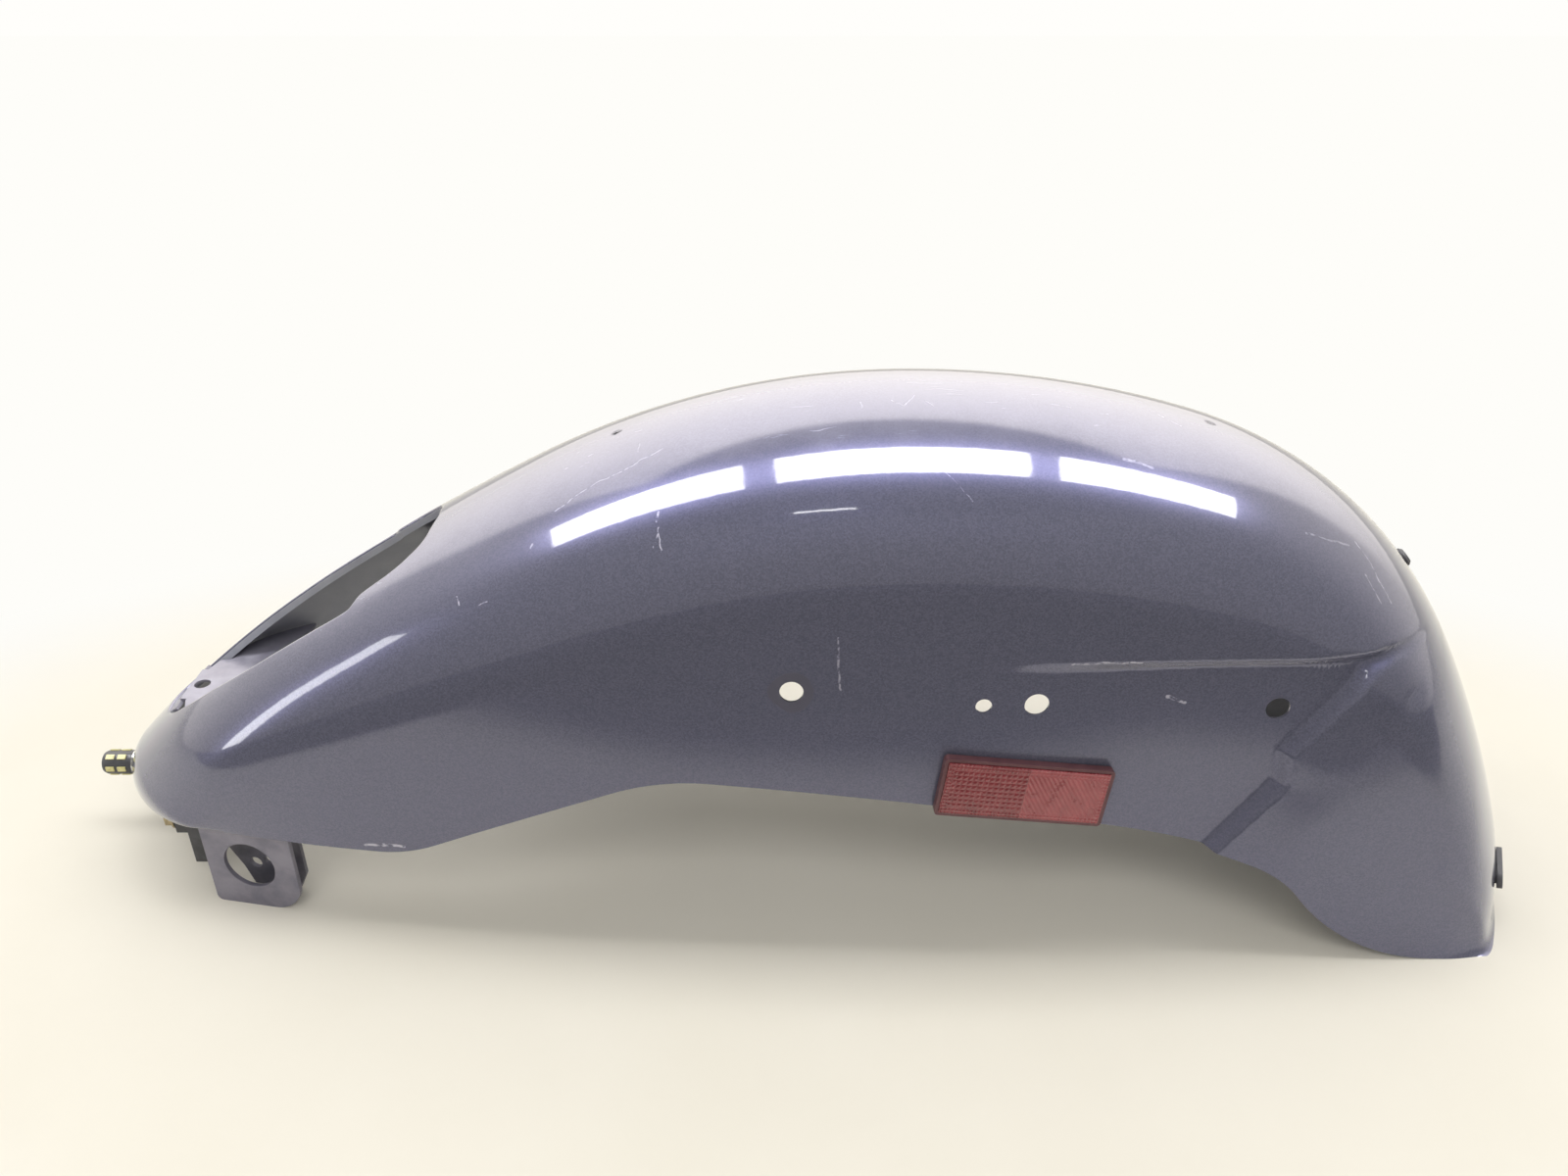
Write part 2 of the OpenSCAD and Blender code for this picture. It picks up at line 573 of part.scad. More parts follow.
// Rubber plug in the tail's oval hole, and grommet in the hole on its crown.
module tail_plug() {
    color("#1b1b1d") on_frame(plug_frame) rotate([0, 0, 90]) union() {
        translate([0, 0, 0.6]) oval(plug_len, plug_w, 3);
        translate([0, 0, -4]) oval(plug_len - 5.6, plug_w - 5.6, 4.61);
    }
}
module tail_grommet() {
    color("#1b1b1d") on_crown(grommet_a) union() {
        translate([0, 0, 0.5]) rotate_extrude($fn = 48) polygon([[0, 0], [grommet_d / 2, 0],
            [grommet_d / 2, 1], [grommet_d / 2 - 1.5, 2.6], [0, 2.6]]);
        translate([0, 0, -4]) round_bar(grommet_d - 4.6, 4.51);
    }
}

module tab_right() { mirror([0, 1, 0]) tab_left(); }
module cheek_right() { mirror([0, 1, 0]) cheek_left(); }
module lamp_bolt_right() { mirror([0, 1, 0]) lamp_bolt_left(); }
module lamp_washer_right() { mirror([0, 1, 0]) lamp_washer_left(); }
module reflector_housing_right() { mirror([0, 1, 0]) reflector_housing_left(); }
module reflector_lens_right() { mirror([0, 1, 0]) reflector_lens_left(); }
module reflector_stud_right() { mirror([0, 1, 0]) reflector_stud_left(); }
module reflector_nut_right() { mirror([0, 1, 0]) reflector_nut_left(); }

// The part's origin is the middle of its base.
mid_x = (bulb_x - bulb_len + crown(crown_len)[0]) / 2;
module centred() { translate([-mid_x, 0, 0]) children(); }

centred() fender_skin();
centred() nose_plate();
centred() neck_plate();
centred() tab_left();
centred() tab_right();
centred() cheek_left();
centred() cheek_right();
centred() lamp_bracket();
centred() lamp_bolt_left();
centred() lamp_bolt_right();
centred() lamp_washer_left();
centred() lamp_washer_right();
centred() bulb_holder();
centred() bulb_neck();
centred() bulb_body();
centred() bulb_chips();
centred() reflector_housing_left();
centred() reflector_housing_right();
centred() reflector_lens_left();
centred() reflector_lens_right();
centred() reflector_stud_left();
centred() reflector_stud_right();
centred() reflector_nut_left();
centred() reflector_nut_right();
centred() tail_plug();
centred() tail_grommet();
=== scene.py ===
import math

import bmesh
import bpy
import numpy as np
from mathutils import Matrix, Vector
from mathutils.kdtree import KDTree


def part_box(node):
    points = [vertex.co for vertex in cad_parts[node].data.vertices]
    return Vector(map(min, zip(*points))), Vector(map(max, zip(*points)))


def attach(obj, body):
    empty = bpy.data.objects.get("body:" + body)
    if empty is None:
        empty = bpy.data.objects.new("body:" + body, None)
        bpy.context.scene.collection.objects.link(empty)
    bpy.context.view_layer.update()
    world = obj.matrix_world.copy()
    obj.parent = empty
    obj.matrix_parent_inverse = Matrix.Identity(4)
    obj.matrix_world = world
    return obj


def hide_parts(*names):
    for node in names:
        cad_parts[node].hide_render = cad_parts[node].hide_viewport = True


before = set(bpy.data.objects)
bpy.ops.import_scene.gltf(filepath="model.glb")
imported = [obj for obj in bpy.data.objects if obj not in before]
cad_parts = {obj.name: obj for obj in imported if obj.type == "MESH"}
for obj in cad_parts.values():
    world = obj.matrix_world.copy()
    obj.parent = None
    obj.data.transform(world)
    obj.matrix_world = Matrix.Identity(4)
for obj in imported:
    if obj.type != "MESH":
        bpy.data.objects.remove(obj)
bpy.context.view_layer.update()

# Camera. It stands 661 mm in front of the fender's middle and 553 mm up, level from side to side
# and tipped 29 degrees down, with a wide lens of about 28 mm.
MM = 0.001
camera_at = (-6.1, -661, 553)
camera_down = 29
picture_w = 1600
focal_px = 1250
camera_data = bpy.data.cameras.new("camera")
camera_data.sensor_width = 36
camera_data.lens = camera_data.sensor_width * focal_px / picture_w
camera_data.clip_start = 0.05
camera = bpy.data.objects.new("camera", camera_data)
camera.location = [v * MM for v in camera_at]
camera.rotation_euler = (math.radians(90 - camera_down), 0, 0)
bpy.context.scene.collection.objects.link(camera)
bpy.context.scene.camera = camera
bpy.context.scene.view_settings.view_transform = "Standard"


# Fender skin. One deep pressing of 1.6 mm steel sheet, hemmed along its lower edge, with the nose
# opening's rim rolled down, a recess for the frame strut on each side and a flared tail. It is
# bolted to the struts through the holes in its sides.
skin_t = 1.6
hem_h = 7
body_half_w = 110
nose_half_w = 75.5
edge_half_w = 115
tail_half_w = 121
recess_d = 6.5
recess_top_z = 200
fan_out = 3
opening_half_w = 50.5
opening_neck_half_w = 42
lip_h = 6
rim_roll = 2.6
dent_x, dent_z, dent_d = 342, 177, 0.8
crease_d = 1.1

# The crown and the lower edge are chains of arcs: length, then turn in degrees.
crown_start = (-435, 60, 75.7)
crown_runs = ((25, -30), (163, -13), (163, -5.8), (220, -25.3), (184, -17.7),
              (83, -17.3), (113, -25.5), (196, -16.6))
edge_start = (-365, 60.5, 0)
edge_runs = ((118, -0.4), (37, 25), (119, -2.7), (58, -26.3), (152, -4.1),
             (168, -10.9), (36, -32.9), (98, 48.7), (39, 3))
crown_len = 1147

# Sections of the pressing: length along the crown, length along the edge, share of the body's
# half width, depth of the crown, power of its curve.
sections = ((0, 0, 0.682, 70, 1.55), (25, 16, 0.69, 62, 1.75), (80, 36, 0.727, 58, 2.1),
            (130, 66, 0.773, 60, 2.2), (239, 167, 0.882, 70, 2.1), (348, 278, 0.964, 78, 2),
            (505, 373, 1, 82, 2), (693, 536, 0.995, 81, 2), (820, 608, 0.982, 79, 2),
            (868, 629, 0.982, 76, 2), (915, 652, 0.982, 70, 1.97), (967, 697, 0.982, 64, 1.95),
            (1038, 754, 0.982, 56, 1.87), (1087, 793, 0.982, 51, 1.8), (1147, 825, 0.982, 47, 1.6))

# Half width at the lower edge by place along X.
edge_half = ((-365, nose_half_w), (-294, nose_half_w + 14.5), (-226, edge_half_w - 16),
             (-106, edge_half_w - 4.5), (19, edge_half_w), (146, edge_half_w),
             (249, edge_half_w - 2), (296, tail_half_w - 4), (350, tail_half_w), (420, tail_half_w))

# Line where the strut recess ends and the tail's fan begins, and the crease down the tail.
fan_line = ((352, 201), (327, recess_top_z - 1), (312, 192), (275, 141), (276, 121),
            (246, 79), (232, 58))
tail_crease = ((380, 66), (384, 58), (404, 37), (427, 0))

# Half width of the opening by length along the crown.
opening_a0 = 56
opening_a1 = 289
opening_half = ((56, 0.5), (58, 12), (65, 22), (80, opening_half_w * 0.6), (114, opening_half_w * 0.8),
                (154, opening_half_w * 0.94), (215, opening_half_w), (229, opening_half_w),
                (234, opening_half_w - 1), (240, opening_neck_half_w + 2), (247, opening_neck_half_w),
                (262, opening_neck_half_w - 3), (275, opening_neck_half_w - 9),
                (285, opening_neck_half_w - 20), (289, 0.5))
slope = math.radians(33)
into_hollow = np.array((math.sin(slope), 0, -math.cos(slope)))


def ease(a, b, x):
    t = np.clip((x - a) / (b - a), 0, 1)
    return t * t * (3 - 2 * t)


def curve(table, x, column=1):
    """Smooth curve through the rows of a table, by its first column."""
    last = len(table) - 1
    i = next((k for k in range(last - 1) if x < table[k + 1][0]), last - 1)

    def grade(k):
        low, high = table[max(k - 1, 0)], table[min(k + 1, last)]
        return (high[column] - low[column]) / (high[0] - low[0])

    h = table[i + 1][0] - table[i][0]
    s = (x - table[i][0]) / h
    return (table[i][column] * (1 + 2 * s) * (1 - s) ** 2 + grade(i) * h * s * (1 - s) ** 2
            + table[i + 1][column] * s * s * (3 - 2 * s) + grade(i + 1) * h * s * s * (s - 1))


def along(start, runs, length):
    """Point and heading after a length along a chain of arcs."""
    x, z, heading = start
    for run, turn in runs:
        part = length if (run, turn) == runs[-1] else min(length, run)
        radius = run / math.radians(turn)
        ahead = heading + part * turn / run
        x += radius * (math.sin(math.radians(ahead)) - math.sin(math.radians(heading)))
        z -= radius * (math.cos(math.radians(ahead)) - math.cos(math.radians(heading)))
        heading = ahead
        length -= part
        if length <= 0:
            break
    return x, z, heading


def side_of(path, x, z):
    """How far points lie to the left of the line through the points of a path."""
    nearest = None
    for i in reversed(range(len(path) - 1)):
        (x0, z0), (x1, z1) = path[i], path[i + 1]
        dx, dz = x1 - x0, z1 - z0
        s = ((x - x0) * dx + (z - z0) * dz) / (dx * dx + dz * dz)
        s = np.clip(s, None if i == 0 else 0, None if i == len(path) - 2 else 1)
        off_x, off_z = x - x0 - s * dx, z - z0 - s * dz
        far = np.hypot(off_x, off_z) * np.where(dx * (z - z0) - dz * (x - x0) > 0, 1, -1)
        nearest = far if nearest is None else np.where(np.abs(nearest) < np.abs(far), nearest, far)
    return nearest


def pressed_in(x, z):
    """Depth of the strut recess, less the height of the tail's fan, its crease and a small dent."""
    s = side_of(fan_line, x, z)
    recess = ease(90, 240, x) * (1 - ease(recess_top_z - 5, recess_top_z + 4, z)) * ease(-5, 4, -s)
    fan = ease(-4, 5, s) * ease(0, 60, s + 20) * (1 - ease(395, 430, x)) * (1 - ease(190, 215, z))
    crease = np.exp(-(side_of(tail_crease, x, z) / 5) ** 2) * ease(0, 14, 72 - z)
    dent = np.exp(-((x - dent_x) ** 2 + (z - dent_z) ** 2) / 30)
    return recess_d * recess - fan_out * fan - crease_d * crease + dent_d * dent


def station(a):
    """Crown point, way to the lower edge, length, half width, crown depth, power, edge half width."""
    x, z, _ = along(crown_start, crown_runs, a)
    edge_x, edge_z, _ = along(edge_start, edge_runs, curve(sections, a, 1))
    edge_z = max(edge_z, 0)
    length = math.hypot(edge_x - x, edge_z - z)
    return (x, z, (edge_x - x) / length, (edge_z - z) / length, length,
            body_half_w * curve(sections, a, 2), min(curve(sections, a, 3), length * 0.999),
            curve(sections, a, 4), curve(edge_half, edge_x))


def spread(t):
    t = np.maximum(t, 0)
    return t * t / (t + 25)


def skin_at(s, d):
    """Points of the near side at distances d below the crown of station s."""
    x0, z0, ux, uz, length, half, deep, power, low_half = s
    x, z = x0 + ux * d, z0 + uz * d
    start = deep * 0.35
    inside = np.clip(1 - np.abs(1 - np.minimum(d, deep) / deep) ** power, 0, 1)
    y = half * inside ** (1 / power)
    y = y + (low_half - half) * spread(d - start) / spread(length - start)
    y = y - pressed_in(x, z) * ease(10, 45, d)
    return np.stack([x, -y, z], -1)


def depth_for(s, y):
    return s[6] * (1 - (1 - (y / s[5]) ** s[7]) ** (1 / s[7]))


def skin_normals(a, d):
    """Outward normals of the near side, from the surface itself."""
    step = 0.4
    down = np.minimum(step, 0.3 * d)
    s = station(a)
    along_x = skin_at(station(a + step), d) - skin_at(station(a - step), d)
    along_d = skin_at(s, d + down) - skin_at(s, d - down)
    n = np.cross(along_d, along_x)
    heading = math.radians(along(crown_start, crown_runs, a)[2])
    n[d < 1e-6] = (-math.sin(heading), 0, math.cos(heading))
    n /= np.linalg.norm(n, axis=1, keepdims=True)
    return n


def row_depths(s, d0, count):
    """Depths of a station's rows, closer together where the pressing has its steps."""
    theta0 = math.asin(min(1, (1 - (1 - d0 / s[6]) ** s[7]) ** 0.5)) if d0 > 0 else 0
    theta = np.linspace(theta0, math.pi / 2, 240)
    crown_d = s[6] * (1 - np.cos(theta) ** (2 / s[7]))
    d = np.concatenate([crown_d, np.linspace(s[6], s[4], 240)[1:]])
    d[0] = d0
    p = skin_at(s, d)
    near_step = np.exp(-((p[:, 2] - recess_top_z) / 9) ** 2) * ease(70, 130, p[:, 0])
    near_fan = np.exp(-(side_of(fan_line, p[:, 0], p[:, 2]) / 11) ** 2) * ease(225, 245, p[:, 0])
    weight = 1 + 2.2 * np.maximum(near_step, near_fan)
    steps = np.linalg.norm(np.diff(p, axis=0), axis=1) * (weight[1:] + weight[:-1]) / 2
    run = np.concatenate([[0], np.cumsum(steps)])
    return np.interp(np.linspace(0, run[-1], count + 1), run, d)


def spaced(a, b, count, density):
    """Values from a to b, closer together where the density is high."""
    fine = np.linspace(a, b, 1500)
    run = np.concatenate([[0], np.cumsum([density(v) for v in (fine[1:] + fine[:-1]) / 2])])
    return np.interp(np.linspace(0, run[-1], count + 1), run, fine)


# The opening's rim as points of length along the crown and half width, with the way out of it.
rim_fine = np.linspace(opening_a0, opening_a1, 2400)
rim_line = np.array([(a, curve(opening_half, a)) for a in rim_fine])
rim_line[[0, -1], 1] = 0
rim_run = np.concatenate([[0], np.cumsum(np.hypot(*np.diff(rim_line, axis=0).T))])
front_columns, rim_columns, rear_columns = 22, 119, 168
rim_share = np.linspace(0, rim_run[-1], rim_columns)
rim = np.stack([np.interp(rim_share, rim_run, rim_line[:, k]) for k in (0, 1)], -1)
rim_way = np.gradient(rim, axis=0)
rim_out = np.stack([-rim_way[:, 1], rim_way[:, 0]], -1) / np.linalg.norm(rim_way, axis=1, keepdims=True)
rim_out[0] = (-1, 0)
rim_out[-1] = (1, 0)
rim_start = rim + rim_out * (rim_roll - skin_t)
rim_start[[0, -1], 1] = 0
rim_edge = np.maximum(rim - rim_out * skin_t, (0, 0))

rows = 74
front_part = list(spaced(0, rim_start[0, 0], front_columns, lambda v: 1 + 1.5 * math.exp(-v / 12)))[:-1]
rear_part = list(spaced(rim_start[-1, 0], crown_len, rear_columns,
                        lambda v: 1 + 0.9 * math.exp(-((v - 880) / 90) ** 2)))[1:]
stations = front_part + list(rim_start[:, 0]) + rear_part
first_open = len(front_part)
last_open = first_open + len(rim_start) - 1

grid, grid_n = [], []
for i, a in enumerate(stations):
    s = station(a)
    is_open = first_open <= i <= last_open
    d0 = depth_for(s, rim_start[i - first_open, 1]) if is_open else 0
    d = row_depths(s, d0, rows)
    grid.append(skin_at(s, d))
    grid_n.append(skin_normals(a, d))
grid, grid_n = np.array(grid), np.array(grid_n)

# The rolled rim: from the lip's lower edge up and over to the first row of the skin.
roll = []
for k, (a, y) in enumerate(rim_edge):
    s = station(a)
    corner = skin_at(s, np.array([depth_for(s, max(y, 0))]))[0]
    start = grid[first_open + k, 0]
    low = corner + into_hollow * rim_roll
    t = np.linspace(0, 1, 6)[:-1, None]
    bend = (1 - t) ** 2 * low + 2 * t * (1 - t) * corner + t * t * start
    roll.append(np.vstack([corner + into_hollow * lip_h,
                           corner + into_hollow * (lip_h + rim_roll) / 2, bend]))
roll = np.array(roll)
roll[[0, -1], :, 1] = 0
strip = np.concatenate([roll, grid[first_open:last_open + 1, :1]], axis=1)
roll_n = np.cross(np.gradient(strip, axis=1), np.gradient(strip, axis=0))[:, :-1]
roll_n[[0, -1], :, 1] = 0
roll_n /= np.linalg.norm(roll_n, axis=2, keepdims=True)

# The hem is double, the rest a single sheet.
hem_from = np.linalg.norm(grid - grid[:, -1:], axis=2)
inner = grid - grid_n * (skin_t + skin_t * (1 - ease(hem_h - 1.5, hem_h, hem_from)))[..., None]
inner[..., 2] = np.maximum(inner[..., 2], 0)
inner[:first_open + 1, 0, 1] = 0
inner[last_open:, 0, 1] = 0
roll_inner = roll - roll_n * skin_t

half_points = np.concatenate([g.reshape(-1, 3) for g in (grid, roll, inner, roll_inner)])
counts = np.cumsum([0] + [g.shape[0] * g.shape[1] for g in (grid, roll, inner, roll_inner)])
lip_cols = roll.shape[1]


def grid_id(layer, i, j):
    return counts[0 if layer == 0 else 2] + i * (rows + 1) + j


def roll_id(layer, k, j):
    if j == lip_cols:
        return grid_id(layer, first_open + k, 0)
    return counts[1 if layer == 0 else 3] + k * lip_cols + j


# The underside and the upright part of the lip are left in the thin paint.
upright_cols = 3
half_faces = []
under_faces = []
lip_faces = []
for layer, faces in ((0, half_faces), (1, under_faces)):
    for i in range(len(stations) - 1):
        for j in range(rows):
            quad = [grid_id(layer, i, j), grid_id(layer, i + 1, j), grid_id(layer, i + 1, j + 1),
                    grid_id(layer, i, j + 1)]
            faces.append(quad if layer == 1 else quad[::-1])
    for k in range(len(rim) - 1):
        for j in range(lip_cols):
            quad = [roll_id(layer, k, j), roll_id(layer, k + 1, j), roll_id(layer, k + 1, j + 1),
                    roll_id(layer, k, j + 1)]
            if layer == 0 and j < upright_cols:
                lip_faces.append(len(faces))
            faces.append(quad if layer == 1 else quad[::-1])
edge_faces = []
last = len(stations) - 1
border = ([grid_id(0, 0, j) for j in range(rows + 1)]
          + [grid_id(0, i, rows) for i in range(1, last + 1)]
          + [grid_id(0, last, j) for j in reversed(range(rows))])
for p, q in zip(border, border[1:]):
    edge_faces.append([p + counts[2], q + counts[2], q, p])
for k in range(len(rim) - 1):
    edge_faces.append([roll_id(0, k + 1, 0), roll_id(1, k + 1, 0), roll_id(1, k, 0), roll_id(0, k, 0)])


def srgb(code):
    """Linear colour of an sRGB hex value."""
    parts = [int(code[k:k + 2], 16) / 255 for k in (1, 3, 5)]
    return [p / 12.92 if p <= 0.04045 else ((p + 0.055) / 1.055) ** 2.4 for p in parts] + [1]


def put(name, points, faces, materials=(), face_material=None):
    """A mesh object from points in millimetres."""
    mesh = bpy.data.meshes.new(name)
    mesh.from_pydata([[float(c) * MM for c in p] for p in points], [], [[int(v) for v in f] for f in faces])
    for material in materials:
        mesh.materials.append(material)
    if face_material is not None:
        mesh.polygons.foreach_set("material_index", face_material)
    mesh.validate()
    piece = bpy.data.objects.new(name, mesh)
    bpy.context.scene.collection.objects.link(piece)
    return piece


# The part's own zero is the front strut hole; the frame's is the middle of its box.
tail_end_x = along(crown_start, crown_runs, crown_len)[0]
zero_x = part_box("fender_skin")[1].x / MM - tail_end_x
half_points[:, 0] += zero_x
mirror = len(half_points)
points = np.concatenate([half_points, half_points * (1, -1, 1)])
skin_faces = half_faces + under_faces + edge_faces
faces = skin_faces + [[v + mirror for v in f[::-1]] for f in skin_faces]
is_under = [0] * len(half_faces) + [1] * len(under_faces) + [0] * len(edge_faces)
for k in lip_faces:
    is_under[k] = 1
# Two empty slots, which take the lacquered paint and the thin one once the holes are cut.
skin = put("fender_pressing", points, faces, (None, None), is_under * 2)
mesh = bmesh.new()
mesh.from_mesh(skin.data)
middle = [v for v in mesh.verts if abs(v.co.y) < 1e-7]
bmesh.ops.remove_doubles(mesh, verts=middle, dist=1e-6)
mesh.to_mesh(skin.data)
mesh.free()
under_normals = np.concatenate([-grid_n.reshape(-1, 3), -roll_n.reshape(-1, 3)])
half_normals = np.concatenate([grid_n.reshape(-1, 3), roll_n.reshape(-1, 3), under_normals])
normals = np.concatenate([half_normals, half_normals * (1, -1, 1)])


def place_on(origin, u, v, n):
    """Matrix that lays local x, y, z along u, v, n at a point in millimetres."""
    turn = Matrix((u, v, n)).transposed().to_4x4()
    return Matrix.Translation(Vector(origin) * MM) @ turn


def cutter(shape, length, place):
    """A straight closed cutter with an outline in millimetres, for one hole."""
    count = len(shape)
    ends = [[(x, y, z) for x, y in shape] for z in (-length / 2, length / 2)]
    points = [tuple(place @ (Vector(p) * MM)) for p in ends[0] + ends[1]]
    faces = [list(range(count))[::-1], list(range(count, 2 * count))]
    faces += [[k, (k + 1) % count, (k + 1) % count + count, k + count] for k in range(count)]
    return points, faces


def ring(diameter, count=64, stretch=0):
    """Outline of a round hole, or of an oval one when it is stretched."""
    turns = [2 * math.pi * (k + 0.5) / count for k in range(count)]
    return [(diameter / 2 * math.cos(t) + math.copysign(stretch / 2, math.cos(t)),
             diameter / 2 * math.sin(t)) for t in turns]


def on_skin(a, y):
    """Place on the near side's outer face at a station and half width: point, rearward, down, outward."""
    s = station(a)
    d = depth_for(s, y)
    p = skin_at(s, np.array([d]))[0]
    u = skin_at(station(a + 1), np.array([d]))[0] - skin_at(station(a - 1), np.array([d]))[0]
    v = skin_at(s, np.array([d + 1.0]))[0] - skin_at(s, np.array([max(0, d - 1.0)]))[0]
    u, v = Vector(u).normalized(), Vector(v).normalized()
    n = v.cross(u).normalized()
    return Vector(p), u, n.cross(u), n


# Height of the bolt holes above the floor and their place behind the front one.
strut_hole_z = 185
side_holes = ((0, strut_hole_z, 13), (104, strut_hole_z - 9, 9), (133, strut_hole_z - 9, 13.5),
              (268, strut_hole_z - 17, 13.5))
crown_holes = ((411, 7), (758, 7), (918, 8))
plug_a, plug_y, plug_hole_w, plug_hole_l = 1103, 78, 8, 25
through_both, through_one = 320, 24
cuts = []
for x, z, size in side_holes:
    cuts.append(cutter(ring(size), through_both,
                       place_on((x + zero_x, 0, z), (1, 0, 0), (0, 0, 1), (0, -1, 0))))
for a, size in crown_holes:
    x, z, heading = along(crown_start, crown_runs, a)
    h = math.radians(heading)
    cuts.append(cutter(ring(size), through_one,
                       place_on((x + zero_x, 0, z), (math.cos(h), 0, math.sin(h)), (0, 1, 0),
                                (math.sin(h), 0, -math.cos(h)))))
p, u, t, n = on_skin(plug_a, plug_y)
cuts.append(cutter(ring(plug_hole_w, 64, plug_hole_l - plug_hole_w), through_one,
                   place_on(p + Vector((zero_x, 0, 0)), t, -u, n)))
for side in ("left", "right"):
    low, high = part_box("reflector_stud_" + side)
    stud = (low + high) / 2 / MM
    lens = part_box("reflector_lens_" + side)
    way = Vector((lens[0] + lens[1]) / 2 / MM) - Vector(stud)
    way.normalize()
    across = way.cross(Vector((0, 0, 1))).normalized()
    cuts.append(cutter(ring(6, 40), 30, place_on(stud, across, way.cross(across), way)))
cut_points, cut_faces = [], []
for points_of, faces_of in cuts:
    cut_faces += [[v + len(cut_points) for v in f] for f in faces_of]
    cut_points += [tuple(c / MM for c in p) for p in points_of]
tool = put("hole_cutters", cut_points, cut_faces)
holes = skin.modifiers.new("holes", "BOOLEAN")
holes.operation = "DIFFERENCE"
holes.solver = "MANIFOLD"
holes.object = tool
bpy.context.view_layer.update()
cut_mesh = bpy.data.meshes.new_from_object(skin.evaluated_get(bpy.context.evaluated_depsgraph_get()))
skin.modifiers.remove(holes)
bpy.data.objects.remove(tool)
skin.data = cut_mesh

# The normals come from the pressing's own surface, so that the paint's reflections stay smooth
# up to the edge of each hole.
known = KDTree(len(points))
for k, p in enumerate(points):
    known.insert(Vector(p) * MM, k)
known.balance()
near = [known.find_n(v.co, 10) for v in cut_mesh.vertices]
split = []
for face in cut_mesh.polygons:
    face.use_smooth = True
    for v in face.vertices:
        sum_n = Vector((0, 0, 0))
        for _, k, far in near[v]:
            n = Vector(normals[k])
            if n.dot(face.normal) > 0.6:
                sum_n += n / (far + 1e-7) ** 2
        split.append(sum_n.normalized() if sum_n.length > 0 else face.normal.copy())
cut_mesh.normals_split_custom_set(split)


def add(tree, kind, settings=None, inputs=None):
    """Adds a node with its settings, and with its sockets' values or links."""
    made = tree.nodes.new(kind)
    for key, value in (settings or {}).items():
        setattr(made, key, value)
    for key, value in (inputs or {}).items():
        if isinstance(value, bpy.types.NodeSocket):
            tree.links.new(value, made.inputs[key])
        else:
            made.inputs[key].default_value = value
    return made


def new_material(name):
    """An empty node material and its tree."""
    made = bpy.data.materials.new(name)
    made.use_nodes = True
    made.node_tree.nodes.clear()
    return made, made.node_tree


def per_metre(size_mm):
    """Texture scale at which one feature is that many millimetres wide."""
    return 1000 / size_mm


# Metallic gloss paint: violet flakes under clear lacquer, which gives a sharp image of the ceiling
# lights with a violet glow around it. Old polish and dust leave the crown hazy and scuffed, and the
# haze, laid on the faces that look up, is also painted reflection of the bright wall on the crown.
paint, tree = new_material("metallic_violet_lacquer")
place = add(tree, "ShaderNodeTexCoord").outputs["Object"]
skin_normal = add(tree, "ShaderNodeNewGeometry").outputs["Normal"]
facing = add(tree, "ShaderNodeSeparateXYZ", None, {0: skin_normal})
flakes = add(tree, "ShaderNodeTexVoronoi", None, {"Vector": place, "Scale": per_metre(0.8)})
flake_light = add(tree, "ShaderNodeMapRange", None,
                  {"Value": add(tree, "ShaderNodeSeparateXYZ", None,
                                {0: flakes.outputs["Color"]}).outputs["X"],
                   "To Min": 0.0, "To Max": 1.0}).outputs["Result"]
base = add(tree, "ShaderNodeMix", {"data_type": "RGBA"},
           {0: flake_light, 6: srgb("#585966"), 7: srgb("#666675")}).outputs[2]
clouds = add(tree, "ShaderNodeTexNoise", None, {"Vector": place, "Scale": per_metre(60), "Detail": 6.0,
                                                "Roughness": 0.62}).outputs["Fac"]
tilted = add(tree, "ShaderNodeMath", {"operation": "ABSOLUTE"}, {0: facing.outputs["Y"]}).outputs[0]
tilted = add(tree, "ShaderNodeMath", {"operation": "MULTIPLY_ADD"},
             {0: clouds, 1: -0.35, 2: tilted}).outputs[0]
upward = add(tree, "ShaderNodeMapRange", {"interpolation_type": "SMOOTHSTEP"},
             {"Value": tilted, "From Min": 0.06, "From Max": 0.3,
              "To Min": 1.0, "To Max": 0.0}).outputs["Result"]
level = add(tree, "ShaderNodeMapRange", {"interpolation_type": "SMOOTHSTEP"},
            {"Value": facing.outputs["Z"], "From Min": 0.45, "From Max": 0.8}).outputs["Result"]
upward = add(tree, "ShaderNodeMath", {"operation": "MULTIPLY"}, {0: upward, 1: level}).outputs[0]
# Haze where the skin looks up: part dust and old polish, part painted reflection of the bright wall.
cloudy = add(tree, "ShaderNodeMapRange", None, {"Value": clouds, "From Min": 0.32, "From Max": 0.62,
                                                "To Min": 0.7, "To Max": 1.0}).outputs["Result"]
dust_haze_and_painted_sheen = add(tree, "ShaderNodeMath", {"operation": "MULTIPLY"}, {0: upward, 1: cloudy}).outputs[0]
bent = add(tree, "ShaderNodeTexNoise", None,
           {"Vector": place, "Scale": per_metre(14), "Detail": 3.0}).outputs["Color"]
bent = add(tree, "ShaderNodeVectorMath", {"operation": "SUBTRACT"},
           {0: bent, 1: (0.5, 0.5, 0.5)}).outputs[0]
bent = add(tree, "ShaderNodeVectorMath", {"operation": "CROSS_PRODUCT"},
           {0: bent, 1: skin_normal}).outputs[0]
bent = add(tree, "ShaderNodeVectorMath", {"operation": "SCALE"}, {0: bent, "Scale": 0.006}).outputs[0]
bent = add(tree, "ShaderNodeVectorMath", {"operation": "ADD"}, {0: place, 1: bent}).outputs[0]
